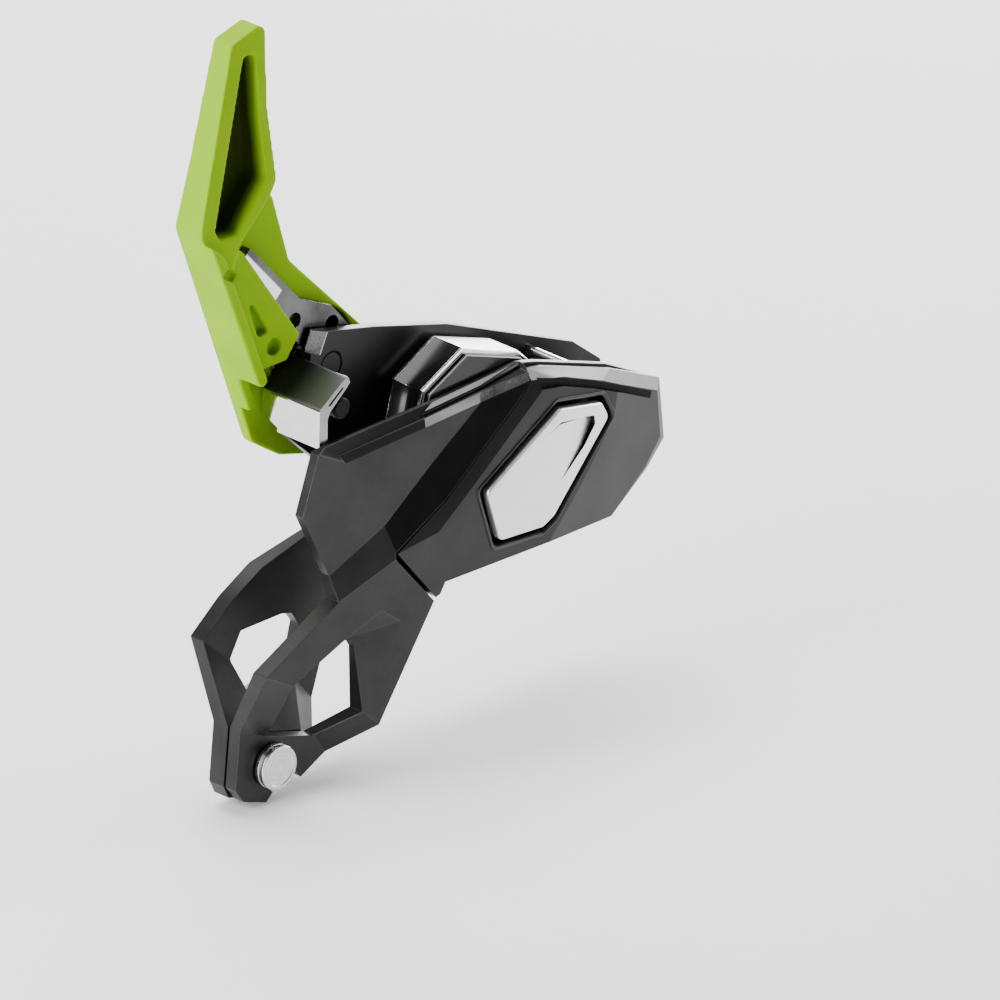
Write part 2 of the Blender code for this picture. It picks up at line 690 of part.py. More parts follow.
def lever_grip(mats):
    """Green handle: a thick blade with a deep pocket, an outer wall, a side wall and an inner web."""
    blade = [(-2.3, 160.0), (5.4, 162.3), (7.2, 161.2), (7.8, 143.5), (10.4, 126.3), (8.6, 123.2)]
    blade += [(0.2, 114.8), (-3.0, 108.6), (-7.6, 111.5), (-11.2, 119.4), (-10.6, 122.8)]
    corners = [1.4, 0.8, 1.2, 6.0, 1.6, 0.8, 1.0, 0.4, 0.4, 3.0, 3.0]
    grip = prism("lever_grip", rounded(blade, corners), GRIP_FRONT, 12.6, mats["green"])
    for vertex in grip.data.vertices:
        above = vertex.co.z / MM - BLADE_WIDEST
        if vertex.co.y > 9 * MM and above > 0:
            vertex.co.y -= above * BLADE_TAPER * MM
    soften(grip, 0.6, 1, 40)
    side = [(-4.0, 136.0), (6.0, 140.0), (10.2, 127.0), (16.0, 118.4), (20.6, 102.9), (41.9, 81.4)]
    side += [(42.6, 74.0), (36.5, 62.5), (25.0, 57.7), (17.8, 59.6), (9.7, 65.0), (-9.4, 118.4)]
    flange = prism("grip_side", rounded(side, [1, 1, 2, 3, 3, 2, 3, 3, 3, 3, 3, 2]), *FLANGE, None)
    wall = [(-10.5, 118.0), (2.9, 82.6), (4.4, 81.9), (5.7, 82.9), (-6.2, 114.0)]
    outer_wall = prism("grip_wall", wall, 2.6, 13.0, None)
    low = [(2.0, 84.9), (6.3, 73.8), (8.5, 74.6), (4.7, 85.4)]
    lower_wall = prism("grip_low_wall", low, LEVER_ARM[0] - 0.2, 13.0, None)
    web_line = [(-7.0, 114.0), (0.8, 113.0), (3.9, 108.6), (17.2, 89.4), (13.4, 84.4), (5.0, 84.2)]
    web_line.append((-1.0, 100.0))
    web = prism("grip_web", web_line, 5.4, LEVER_ARM[0] - GAP, None)
    fuse(grip, flange, outer_wall, lower_wall, web)
    pocket = [(1.3, 156.5), (4.2, 156.4), (5.3, 142.0), (7.0, 128.3), (-0.8, 117.4)]
    pocket += [(-5.6, 117.2), (-6.9, 119.6)]
    cut(grip, prism("grip_pocket", rounded(pocket, [1.4, 1.0, 4.0, 2.0, 1.5, 1.2, 1.0]), 3.0, 9.4, None))
    small = [(1.6, 103.5), (8.2, 92.6), (5.4, 92.0)]
    cut(grip, prism("grip_small_pocket", rounded(small, 0.5), 3.0, 7.4, None))
    hole(grip, (9.8, 88.6), 1.9, 3.0, 7.4, 20)
    notch = [(-9.0, 113.6), (-1.0, 108.4), (-2.0, 106.6), (-10.0, 111.8)]
    cut(grip, prism("grip_notch", notch, 1.0, 6.2, None))
    hole(grip, LEVER_PIVOT, 6.3, 11.5, 16.0)
    hole(grip, LEVER_PIVOT, HUB_R + GAP, 11.0, FLANGE[0] + 1.3, 48)
    for spot in GRIP_SCREWS:
        hole(grip, spot, SCREW_R + GAP, LEVER_ARM[1], 16.0, 20)
        hole(grip, spot, 3.0, 13.9, 16.0, 20)
    return grip


def lever_arm(mats):
    """Stainless arm from the lever's pivot up into the handle."""
    bar = [(13.4, 95.2), (12.0, 99.0), (4.5, 108.0), (6.9, 110.4), (20.9, 94.9), (29.9, 90.8), (35.2, 84.5)]
    hub = arc(LEVER_PIVOT, 8.4, 10, -60, 5) + arc(LEVER_PIVOT, 5.8, -100, -215, 8)
    outline = bar + hub
    arm = prism("lever_arm", outline, LEVER_ARM[0], LEVER_ARM[1], mats["steel"])
    hole(arm, LEVER_PIVOT, 4.5, 9, 12.2)
    hole(arm, (30.0, 86.6), 1.9, 9, 12.2, 20)
    for spot in GRIP_SCREWS:
        hole(arm, spot, SCREW_R + GAP, SCREW_TIP - GAP, 12.2, 20)
    return arm


def grip_screw(name, centre, mats):
    """Screw with a low head, through the handle's side wall into a blind hole in the steel arm."""
    seat, head = 14.2, 2.5
    profile = [(SCREW_TIP, SCREW_R - BREAK), (SCREW_TIP + BREAK, SCREW_R), (seat, SCREW_R), (seat, head)]
    profile += [(seat + 0.5, head), (seat + 0.7, head - BREAK)]
    return turned(name, centre, profile, mats["satin"], segments=20)


# ---------------------------------------------------------------- assembly


def build_frame(mats):
    rear_side_plate(mats)
    friction_block(mats)
    shouldered_post("block_pin", BLOCK_PIN, 2.3, mats["black"], front=-5.6)
    shouldered_post("rope_post", ROPE_POST, 3.0, mats["steel"])
    shouldered_post("cam_stop_pin", CAM_STOP, 1.9, mats["steel"])
    brake_strand_guide(mats)
    for name, spot in zip(("guide_rivet_lower", "guide_rivet_upper"), GUIDE_RIVETS):
        guide_rivet(name, spot, mats["satin"])
    cam_axle(mats)
    ring("axle_washer", AXLE, AXLE_R + GAP, 6.0, 5.7, CHAMBER - GAP, mats["bronze"])
    ring("axle_clip", AXLE, AXLE_R + GAP, 5.4, -9.0, -PLATE_THIN - GAP, mats["spring"])
    coil("cam_spring", AXLE, 7.2, 0.3, 2.6, 4.5, 2.5, mats["spring"])
    attachment_pin(mats)
    lever_pivot_pin(mats)
    coil("lever_spring", LEVER_PIVOT, 4.6, 0.3, 12.4, 14.1, 2.25, mats["spring"])


def build_front_plate(mats):
    pieces = [front_side_plate(mats), front_cover(mats), button_bezel(mats)]
    pieces.append(ring("plate_bush", AXLE, AXLE_R + GAP, 5.2, -PLATE_THIN, -CHAMBER, mats["bronze"]))
    shank = [(-PLATE_THIN, RIVET_R - BREAK), (BREAK - PLATE_THIN, RIVET_R), (-CHAMBER - 0.1, RIVET_R)]
    for name, spot in zip(("cover_rivet_left", "cover_rivet_right"), COVER_RIVETS):
        pieces.append(turned(name, spot, shank, mats["satin"], segments=20))
    pieces.append(coil("button_spring", AXLE, 3.0, 0.2, -10.4, -9.7, 1.25, mats["spring"]))
    hang(pieces, joint_empty("front_plate_axis", AXLE))


def build_button(mats):
    profile = [(-BUTTON_FACE + BUTTON_THICK + GAP, BOLT_R), (-5.2, BOLT_R), (-4.9, BOLT_R - 0.3)]
    bolt = turned("lock_bolt", AXLE, profile, mats["steel"], segments=24)
    hang([lock_button(mats), bolt], joint_empty("button_axis", AXLE))


def build_cam(mats):
    pieces = [brake_cam(mats)]
    pieces.append(cam_cap("cam_cap_front", -FILL, -CAM_HALF - GAP, 5.2, mats))
    pieces.append(cam_cap("cam_cap_rear", CAM_HALF + GAP, 5.5, 5.2, mats))
    pieces.append(ring("cam_bush", AXLE, AXLE_R + GAP, 5.3, -CAM_HALF, 1.9, mats["bronze"]))
    hang(pieces, joint_empty("cam_axis", AXLE))


def build_lever(mats):
    pieces = [lever_grip(mats), lever_arm(mats)]
    hub_front = FLANGE[0]
    pieces.append(ring("lever_hub_plate", LEVER_PIVOT, 6.4, HUB_R, hub_front, hub_front + 1, mats["black"], 48))
    pieces.append(ring("lever_bush", LEVER_PIVOT, LEVER_PIN_R + GAP, 4.2, *LEVER_ARM, mats["bronze"]))
    for name, spot in zip(("grip_screw_upper", "grip_screw_lower"), GRIP_SCREWS):
        pieces.append(grip_screw(name, spot, mats))
    hang(pieces, joint_empty("lever_axis", LEVER_PIVOT))


def main():
    clear_scene()
    mats = make_materials()
    build_frame(mats)
    build_front_plate(mats)
    build_button(mats)
    build_cam(mats)
    build_lever(mats)


main()
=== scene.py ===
"""Looks of the assisted-braking belay device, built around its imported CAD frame.

Blender 4.5. Outlines are in millimetres as (x, z), and depths in millimetres along Y, in the CAD's own
frame: +Z up, -Y the front side, and the origin in the middle of the pin that hangs in the harness loop.
"""

import json
import math

import bmesh
import bpy
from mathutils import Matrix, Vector


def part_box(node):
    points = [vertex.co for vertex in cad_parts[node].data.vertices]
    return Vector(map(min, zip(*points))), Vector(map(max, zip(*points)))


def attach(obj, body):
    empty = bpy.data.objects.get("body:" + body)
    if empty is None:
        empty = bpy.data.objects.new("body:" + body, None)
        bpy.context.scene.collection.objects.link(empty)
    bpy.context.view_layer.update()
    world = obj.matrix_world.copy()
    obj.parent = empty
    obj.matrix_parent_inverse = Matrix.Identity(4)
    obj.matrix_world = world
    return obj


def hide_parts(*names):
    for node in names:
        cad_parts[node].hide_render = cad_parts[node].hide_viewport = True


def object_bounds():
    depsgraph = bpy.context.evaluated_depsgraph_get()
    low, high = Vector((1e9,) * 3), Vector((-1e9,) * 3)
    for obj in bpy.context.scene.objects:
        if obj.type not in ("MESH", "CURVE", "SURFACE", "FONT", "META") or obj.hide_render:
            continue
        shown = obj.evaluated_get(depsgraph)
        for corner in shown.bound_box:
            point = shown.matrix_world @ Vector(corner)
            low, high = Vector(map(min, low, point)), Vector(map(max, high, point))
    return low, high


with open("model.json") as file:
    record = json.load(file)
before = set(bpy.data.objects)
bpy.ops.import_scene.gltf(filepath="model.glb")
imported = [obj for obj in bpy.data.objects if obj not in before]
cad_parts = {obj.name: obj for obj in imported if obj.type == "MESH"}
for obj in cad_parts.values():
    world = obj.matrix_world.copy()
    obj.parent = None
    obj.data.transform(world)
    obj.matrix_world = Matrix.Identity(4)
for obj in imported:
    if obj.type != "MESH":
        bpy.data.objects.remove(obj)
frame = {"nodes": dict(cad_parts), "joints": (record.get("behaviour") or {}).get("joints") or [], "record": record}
NODES = frame["nodes"]
RECORD = frame["record"]
BODY_OF = {node: body for body, nodes in RECORD["behaviour"]["bodies"].items() for node in nodes}
SLOT_OF = {part["node"]: part["material_slot"] for part in RECORD["subparts"]}
HINGES = {joint["name"]: Vector(joint["pos_m"]) for joint in frame["joints"] if "pos_m" in joint}
cad_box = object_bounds()

MM = 0.001


def axis_of(name):
    """A joint's axis as (x, z) in millimetres."""
    return (HINGES[name].x / MM, HINGES[name].z / MM)


def depths_of(node):
    """A node's front and rear depth in millimetres."""
    low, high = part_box(node)
    return low.y / MM, high.y / MM


def centre_of(node):
    """The middle of a node's box as (x, z) in millimetres."""
    low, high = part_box(node)
    return ((low.x + high.x) / 2 / MM, (low.z + high.z) / 2 / MM)


AXLE = axis_of("cam_hinge")
LEVER_PIVOT = axis_of("lever_hinge")
GRIP_SCREWS = ("grip_screw_upper", "grip_screw_lower")

# Depths along Y that the front plate, its cover and the button share.
PLATE_IN = -6.35
PLATE_OUT = -8.85
PLATE_THIN = -8.05
ARM_OUT = -11.5
ARM_IN = -7.5
COVER_BACK = -8.35
COVER_FACE = -11.9
GROOVE_FLOOR = -10.8
BUTTON_FRONT, BUTTON_BACK = depths_of("lock_button")

# Outlines that more than one piece uses.
BUTTON = [
    (53.5, 48.1), (74.5, 60.8), (86.6, 58.7), (88.6, 54.9), (72.8, 37.0), (69.6, 35.4), (57.2, 36.0),
]
BUTTON_CORNER = 1.6
WINDOW = [(13.7, 26.3), (16.7, 25.6), (18.6, 22.6)]
PLATE_BOTTOM = [(42.3, 31.9), (90.6, 31.6), (101.4, 38.7), (107.0, 43.8)]

# Depths where a tint starts, is full and ends. These three take in the whole device.
ALL_DEPTHS = (-100.0, -99.0, 99.0)


# ---------------------------------------------------------------- camera, floor and lights


def look_at(obj, spot):
    obj.rotation_euler = (Vector(spot) - obj.location).to_track_quat("-Z", "Y").to_euler()


def add_object(name, data):
    obj = bpy.data.objects.new(name, data)
    bpy.context.scene.collection.objects.link(obj)
    return obj


def add_camera():
    aim = Vector((0.0692, 0.0, 0.0377))
    towards_viewer = Vector((-0.631, -0.6626, 0.4035))
    distance, span_shown = 8.0, 0.2083
    camera = add_object("camera", bpy.data.cameras.new("camera"))
    camera.location = aim + distance * towards_viewer
    look_at(camera, aim)
    camera.data.lens = camera.data.sensor_width * distance / span_shown
    bpy.context.scene.camera = camera


def add_floor(material):
    clearance, half = 0.0005, 6.0
    low = cad_box[0].z - clearance
    corners = [(-half, -half, low), (half, -half, low), (half, half, low), (-half, half, low)]
    mesh = bpy.data.meshes.new("floor")
    mesh.from_pydata(corners, [], [(0, 1, 2, 3)])
    mesh.materials.append(material)
    add_object("floor", mesh)


def add_light(name, direction, distance, size, power):
    """A rectangular softbox that faces the middle of the device."""
    middle = (cad_box[0] + cad_box[1]) / 2
    data = bpy.data.lights.new(name, "AREA")
    data.shape = "RECTANGLE"
    data.size, data.size_y = size
    data.energy = power
    light = add_object(name, data)
    light.location = middle + Vector(direction).normalized() * distance
    look_at(light, middle)


def add_lights():
    """Softboxes, each with its direction, distance, size and power, and a faint cool sky."""
    softboxes = [
        ("left_softbox", (-1.0, 0.1, 0.3), 0.7, (0.4, 0.7), 12.0),
        ("back_softbox", (0.75, 0.66, 0.08), 0.9, (0.8, 0.42), 15.0),
        ("top_softbox", (0.15, 0.3, 1.0), 0.9, (0.8, 0.8), 17.0),
        ("right_softbox", (0.95, -0.15, 0.38), 0.9, (0.35, 0.5), 6.0),
        ("front_fill", (0.8, -0.85, 0.15), 1.2, (0.5, 0.4), 4.0),
    ]
    for softbox in softboxes:
        add_light(*softbox)
    world = bpy.data.worlds.new("studio")
    world.use_nodes = True
    background = world.node_tree.nodes["Background"]
    background.inputs["Color"].default_value = (0.95, 0.97, 1.0, 1.0)
    background.inputs["Strength"].default_value = 0.13
    bpy.context.scene.world = world


# ---------------------------------------------------------------- materials


def add_node(tree, kind, inputs=None, **settings):
    """A node with its settings, and its inputs given as values or as sockets to link from."""
    node = tree.nodes.new(kind)
    for key, value in settings.items():
        setattr(node, key, value)
    for key, value in (inputs or {}).items():
        if isinstance(value, bpy.types.NodeSocket):
            tree.links.new(value, node.inputs[key])
        else:
            node.inputs[key].default_value = value
    return node


def vector_math(tree, operation, *values):
    """A vector maths node. Its result is its first output, or "Value" for a length or a dot product."""
    return add_node(tree, "ShaderNodeVectorMath", dict(enumerate(values)), operation=operation)


def scalar_math(tree, operation, one, two):
    return add_node(tree, "ShaderNodeMath", {0: one, 1: two}, operation=operation).outputs["Value"]


def ramp(tree, value, start, end):
    """0 at the start value and 1 at the end value, and level outside them."""
    inputs = {"Value": value, "From Min": start, "From Max": end}
    return add_node(tree, "ShaderNodeMapRange", inputs).outputs["Result"]


def new_material(name, metallic, coat=0.0, specular=0.5):
    material = bpy.data.materials.new(name)
    material.use_nodes = True
    shader = material.node_tree.nodes["Principled BSDF"]
    shader.inputs["Metallic"].default_value = metallic
    shader.inputs["Coat Weight"].default_value = coat
    shader.inputs["Coat Roughness"].default_value = 0.05
    shader.inputs["Specular IOR Level"].default_value = specular
    return material, material.node_tree, shader


def noise(tree, vector, scale, detail=2.0):
    inputs = {"Vector": vector, "Scale": scale, "Detail": detail}
    return add_node(tree, "ShaderNodeTexNoise", inputs).outputs["Fac"]


def span(tree, value, low, high):
    """A noise value, stretched so that most of it runs from low to high."""
    inputs = {"Value": value, "From Min": 0.3, "From Max": 0.7, "To Min": low, "To Max": high}
    return add_node(tree, "ShaderNodeMapRange", inputs).outputs["Result"]


def blend_values(tree, factor, one, two):
    node = add_node(tree, "ShaderNodeMix", data_type="FLOAT")
    node.inputs[0].default_value = factor
    tree.links.new(one, node.inputs[2])
    tree.links.new(two, node.inputs[3])
    return node.outputs[0]


def grey(shade):
    return (shade, shade, shade)


def tint(tree, factor, one, two):
    mix = add_node(tree, "ShaderNodeMix", data_type="RGBA")
    tree.links.new(factor, mix.inputs[0])
    mix.inputs[6].default_value = (*one, 1.0)
    mix.inputs[7].default_value = (*two, 1.0)
    return mix.outputs[2]


def add_relief(tree, shader, height, strength, depth=0.04 * MM):
    relief = add_node(tree, "ShaderNodeBump", {"Height": height, "Strength": strength, "Distance": depth})
    tree.links.new(relief.outputs["Normal"], shader.inputs["Normal"])


def surface(name, dark, light, roughness, metallic, patch=90.0, grain=4200.0, speck=0.35, bump=0.12,
            stretch=(1.0, 1.0, 1.0), coat=0.0, specular=0.5):
    """A finish with slow mottling, fine grain in its colour and relief, and uneven roughness."""
    material, tree, shader = new_material(name, metallic, coat, specular)
    spot = add_node(tree, "ShaderNodeTexCoord").outputs["Object"]
    drawn = add_node(tree, "ShaderNodeMapping", {"Vector": spot, "Scale": stretch}).outputs["Vector"]
    slow = noise(tree, spot, patch, 3.0)
    fine = noise(tree, drawn, grain)
    shade = span(tree, blend_values(tree, speck, slow, fine), 0.0, 1.0)
    tree.links.new(tint(tree, shade, dark, light), shader.inputs["Base Color"])
    smear = span(tree, blend_values(tree, 0.4, slow, fine), *roughness)
    tree.links.new(smear, shader.inputs["Roughness"])
    add_relief(tree, shader, fine, bump)
    return material


def turned_surface(name, centre, dark=0.5, light=0.64, roughness=(0.2, 0.32), pitch=0.5):
    """Lathe-turned steel with fine concentric marks about a line along Y through the centre."""
    material, tree, shader = new_material(name, 1.0)
    spot = add_node(tree, "ShaderNodeTexCoord").outputs["Object"]
    middle = (centre[0] * MM, 0.0, centre[1] * MM)
    shifted = vector_math(tree, "SUBTRACT", spot, middle).outputs[0]
    flat = vector_math(tree, "MULTIPLY", shifted, (1.0, 0.0, 1.0)).outputs[0]
    radius = vector_math(tree, "LENGTH", flat).outputs["Value"]
    marks = {"W": radius, "Scale": 1.0 / (pitch * MM), "Detail": 3.0}
    rings = add_node(tree, "ShaderNodeTexNoise", marks, noise_dimensions="1D").outputs["Fac"]
    colour = tint(tree, span(tree, rings, 0.0, 1.0), grey(dark), grey(light))
    tree.links.new(colour, shader.inputs["Base Color"])
    tree.links.new(span(tree, noise(tree, spot, 400.0, 3.0), *roughness), shader.inputs["Roughness"])
    add_relief(tree, shader, rings, 0.12)
    return material


def paint_inside(material, outline, colour, depths=ALL_DEPTHS):
    """Paints light and shade into a finish inside an XZ outline, from none at the first depth along Y to full at
    the second.

    Faces that look to the rear keep their plain colour, and so does all that lies past the third depth.
    """
    start, full, last = depths
    soft_edge = (-0.3, 0.1)
    last_fade = 0.4
    tree = material.node_tree
    shader = tree.nodes["Principled BSDF"]
    place = add_node(tree, "ShaderNodeTexCoord")
    spot = place.outputs["Object"]
    middle = sum((Vector(corner) for corner in outline), Vector((0.0, 0.0))) / len(outline)
    nearest = None
    for one, two in zip(outline, outline[1:] + outline[:1]):
        run = (Vector(two) - Vector(one)).normalized()
        inward = Vector((-run.y, run.x))
        if inward.dot(middle - Vector(one)) < 0:
            inward.negate()
        along = vector_math(tree, "DOT_PRODUCT", spot, (inward.x, 0.0, inward.y)).outputs["Value"]
        gap = scalar_math(tree, "SUBTRACT", along, inward.dot(Vector(one)) * MM)
        nearest = gap if nearest is None else scalar_math(tree, "MINIMUM", nearest, gap)
    depth = add_node(tree, "ShaderNodeSeparateXYZ", {"Vector": spot}).outputs["Y"]
    facing = add_node(tree, "ShaderNodeSeparateXYZ", {"Vector": place.outputs["Normal"]}).outputs["Y"]
    factor = ramp(tree, nearest, soft_edge[0] * MM, soft_edge[1] * MM)
    sunk = ramp(tree, depth, start * MM, full * MM)
    in_front = ramp(tree, facing, 0.6, 0.3)
    shallow = ramp(tree, depth, (last + last_fade) * MM, last * MM)
    for limit in (sunk, in_front, shallow):
        factor = scalar_math(tree, "MULTIPLY", factor, limit)
    plain = shader.inputs["Base Color"].links[0].from_socket
    mix = add_node(tree, "ShaderNodeMix", data_type="RGBA")
    tree.links.new(factor, mix.inputs[0])
    tree.links.new(plain, mix.inputs[6])
    mix.inputs[7].default_value = (*colour, 1.0)
    tree.links.new(mix.outputs[2], shader.inputs["Base Color"])


def make_materials():
    """Finishes by name. A surface's two colours are its darkest and lightest, then roughness and metal."""
    drawn_y, drawn_z = (1.0, 0.1, 1.0), (1.0, 1.0, 0.15)
    steel_grain = 1800.0
    return {
        "floor": surface("floor_paper", (0.83, 0.83, 0.84), grey(0.87), (0.75, 0.9), 0.0,
                         patch=3.0, grain=300.0, bump=0.02),
        "anodised": surface("anodised_black", grey(0.02), (0.036, 0.0355, 0.035), (0.32, 0.44), 0.85,
                            bump=0.25, specular=0.3),
        "cover": surface("cover_charcoal", (0.022, 0.022, 0.0225), (0.036, 0.036, 0.037),
                         (0.3, 0.42), 0.8, bump=0.2, specular=0.3),
        # Painted light: a lighter copy of the cover for the right part of its face.
        "cover_painted_light": surface("cover_painted_light", (0.045, 0.045, 0.046), (0.065, 0.065, 0.066),
                               (0.3, 0.42), 0.8, bump=0.2, specular=0.3),
        # Painted highlight: a lighter copy of the anodising for bands and bevels that catch the light.
        "edge": surface("anodised_painted_highlight", grey(0.12), grey(0.2), (0.28, 0.4), 0.9, bump=0.1),
        # Faint painted highlight: a slightly lighter copy of the anodising for bevels and the bezel's rim.
        "rim": surface("bevel_painted_highlight", grey(0.03), grey(0.05), (0.28, 0.4), 0.9, bump=0.1),
        "shade": surface("anodised_shade", grey(0.003), grey(0.006), (0.4, 0.5), 0.5,
                         speck=0.1, bump=0.02, specular=0.1),
        # Painted shade: a dark copy of the steel for the friction wall's sloped top.
        "steel_painted_shade": surface("steel_painted_shade", (0.02, 0.02, 0.021), (0.035, 0.035, 0.036), (0.3, 0.4), 0.9,
                              grain=steel_grain, bump=0.05, specular=0.3),
        # Painted highlight: a grey steel copy for the friction wall's front ends and a bright band on the front
        # plate.
        "steel_painted_highlight": surface("steel_painted_highlight", grey(0.2), grey(0.32), (0.16, 0.3), 1.0,
                             grain=steel_grain, bump=0.04),
        "arm_steel": surface("arm_steel", (0.05, 0.05, 0.052), (0.13, 0.13, 0.133), (0.22, 0.34), 1.0,
                             patch=140.0, grain=steel_grain, speck=0.15, bump=0.05),
        "polished": surface("polished_steel", (0.6, 0.6, 0.61), (0.72, 0.72, 0.73), (0.05, 0.14), 1.0,
                            grain=steel_grain, bump=0.03, stretch=drawn_y),
        "satin": surface("satin_steel", grey(0.5), grey(0.66), (0.2, 0.34), 1.0, grain=2500.0),
        "button": surface("button_silver", grey(0.74), grey(0.84), (0.3, 0.42), 0.85,
                          grain=5200.0, bump=0.08, stretch=drawn_z),
        "spring": surface("spring_wire", (0.36, 0.36, 0.38), (0.55, 0.55, 0.57), (0.2, 0.35), 1.0,
                          grain=3000.0),
        "bronze": surface("bush_bronze", (0.33, 0.19, 0.08), (0.5, 0.33, 0.15), (0.28, 0.42), 1.0,
                          grain=2600.0),
        "black": surface("gloss_black", (0.004, 0.004, 0.0045), (0.01, 0.01, 0.011), (0.14, 0.24), 0.0,
                         bump=0.04, specular=0.35),
        "green": surface("lime_nylon", (0.18, 0.35, 0.0), (0.22, 0.41, 0.0), (0.5, 0.62), 0.0,
                         patch=60.0, grain=2600.0, speck=0.25, bump=0.12, specular=0.04),
        "pin": turned_surface("turned_pin", (0.0, 0.0)),
        "axle": turned_surface("turned_axle", AXLE),
    }


# ---------------------------------------------------------------- outlines


def rounded(outline, radius, steps=6):
    """The outline with each corner turned into an arc. radius is one value, or one for each corner."""
    count = len(outline)
    radii = radius if isinstance(radius, list) else [radius] * count
    points = []
    for i, corner in enumerate(outline):
        here = Vector(corner)
        back = Vector(outline[i - 1]) - here
        ahead = Vector(outline[(i + 1) % count]) - here
        half = back.angle(ahead) / 2
        reach = 0.45 * min(back.length, ahead.length)
        size = min(radii[i], reach * math.tan(half))
        bisector = (back.normalized() + ahead.normalized()).normalized()
        centre = here + bisector * (size / math.sin(half))
        start = here + back.normalized() * (size / math.tan(half)) - centre
        end = here + ahead.normalized() * (size / math.tan(half)) - centre
        first = math.atan2(start.y, start.x)
        sweep = math.atan2(end.y, end.x) - first
        sweep = (sweep + math.pi) % math.tau - math.pi
        for k in range(steps + 1):
            angle = first + sweep * k / steps
            points.append((centre.x + size * math.cos(angle), centre.y + size * math.sin(angle)))
    return points


def offset(outline, distance, radius, steps=6):
    """The outline pushed outward by a distance, with rounded corners."""
    middle = Vector((sum(p[0] for p in outline), sum(p[1] for p in outline))) / len(outline)
    count = len(outline)
    moved = []
    for i in range(count):
        lines = []
        for one, two in ((outline[i - 1], outline[i]), (outline[i], outline[(i + 1) % count])):
            run = (Vector(two) - Vector(one)).normalized()
            normal = Vector((run.y, -run.x))
            if normal.dot(Vector(one) - middle) < 0:
                normal.negate()
            lines.append((Vector(one) + normal * distance, run))
        (p, u), (q, v) = lines
        cross = u.x * v.y - u.y * v.x
        t = ((q - p).x * v.y - (q - p).y * v.x) / cross
        moved.append(tuple(p + u * t))
    return rounded(moved, radius, steps)


def arc(centre, radius, first, last, steps):
    """Points on a circle between two angles in degrees."""
    angles = [math.radians(first + (last - first) * k / steps) for k in range(steps + 1)]
    return [(centre[0] + radius * math.cos(a), centre[1] + radius * math.sin(a)) for a in angles]


# ---------------------------------------------------------------- solids


def finish(name, bm, materials):
    bmesh.ops.recalc_face_normals(bm, faces=bm.faces)
    for face in bm.faces:
        face.smooth = True
    mesh = bpy.data.meshes.new(name)
    bm.to_mesh(mesh)
    bm.free()
    for material in materials:
        mesh.materials.append(material)
    return add_object(name, mesh)


def loft(name, levels, materials, closed=False):
    """Rings of equal length, each (outline, y) or a list of (x, y, z), joined in order.

    The ends are capped, or the last ring is joined to the first one.
    """
    bm = bmesh.new()
    rings = []
    for outline, y in levels:
        depth = y if isinstance(y, list) else [y] * len(outline)
        rings.append([bm.verts.new((x * MM, d * MM, z * MM)) for (x, z), d in zip(outline, depth)])
    pairs = list(zip(rings, rings[1:]))
    if closed:
        pairs.append((rings[-1], rings[0]))
    else:
        bm.faces.new(rings[0])
        bm.faces.new(reversed(rings[-1]))
    for one, two in pairs:
        for i in range(len(one)):
            n = (i + 1) % len(one)
            bm.faces.new((one[i], two[i], two[n], one[n]))
    return finish(name, bm, materials)


def prism(name, outline, front, rear, materials=()):
    return loft(name, [(outline, front), (outline, rear)], materials)


def turned(name, centre, profile, materials, segments=96, hollow=False):
    """A profile of (y, radius) turned about the line along Y through the centre."""
    levels = [(arc(centre, radius, 0, 360 * (1 - 1 / segments), segments - 1), y) for y, radius in profile]
    return loft(name, levels, materials, closed=hollow)


def facets(name, points, faces, materials):
    """A sculpted plate. points holds (x, z, outer y, inner y); faces are (material index, names)."""
    bm = bmesh.new()
    outer = {k: bm.verts.new((p[0] * MM, p[2] * MM, p[1] * MM)) for k, p in points.items()}
    inner = {k: bm.verts.new((p[0] * MM, p[3] * MM, p[1] * MM)) for k, p in points.items()}
    edges = {}
    for index, names in faces:
        loop = names.split()
        bm.faces.new([outer[k] for k in loop]).material_index = index
        bm.faces.new([inner[k] for k in reversed(loop)])
        for i, k in enumerate(loop):
            n = loop[(i + 1) % len(loop)]
            edges.setdefault(frozenset((k, n)), []).append((k, n))
    for used in edges.values():
        if len(used) == 1:
            k, n = used[0]
            bm.faces.new((outer[n], outer[k], inner[k], inner[n]))
    return finish(name, bm, materials)


def combine(obj, tool, operation):
    boolean = obj.modifiers.new(tool.name, "BOOLEAN")
    boolean.operation = operation
    boolean.solver = "EXACT"
    boolean.object = tool
    return tool


def bake_shape(obj, tools=()):
    """Turns the object's modifiers into its mesh and removes the tools that they used."""
    shape = obj.evaluated_get(bpy.context.evaluated_depsgraph_get())
    mesh = bpy.data.meshes.new_from_object(shape)
    obj.modifiers.clear()
    obj.data = mesh
    for face in mesh.polygons:
        face.use_smooth = True
    for tool in tools:
        bpy.data.objects.remove(tool)


def cut(obj, *tools):
    for tool in tools:
        combine(obj, tool, "DIFFERENCE")
    bake_shape(obj, tools)


def fuse(obj, *tools):
    for tool in tools:
        combine(obj, tool, "UNION")
    bake_shape(obj, tools)


def soften(obj, width, segments=3, angle=14.0, edge_slot=-1):
    """Rounds the sharp edges and keeps the flat faces flat. edge_slot is the bevels' material, or -1."""
    bevel = obj.modifiers.new("soften", "BEVEL")
    bevel.width = width * MM
    bevel.segments = segments
    bevel.limit_method = "ANGLE"
    bevel.angle_limit = math.radians(angle)
    bevel.harden_normals = True
    bevel.material = edge_slot
    bevel.miter_outer = "MITER_ARC"


def hole(centre, radius, front, rear, segments=48):
    return turned("hole", centre, [(front, radius), (rear, radius)], (), segments)


def hull(name, corners):
    """Convex cutter through a few (x, y, z) corners."""
    bm = bmesh.new()
    for corner in corners:
        bm.verts.new(Vector(corner) * MM)
    bmesh.ops.convex_hull(bm, input=bm.verts)
    return finish(name, bm, ())


def stand_for(piece, node):
    """The piece takes the node's place and body."""
    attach(piece, BODY_OF[node])
    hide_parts(node)
    return piece


# ---------------------------------------------------------------- front plate


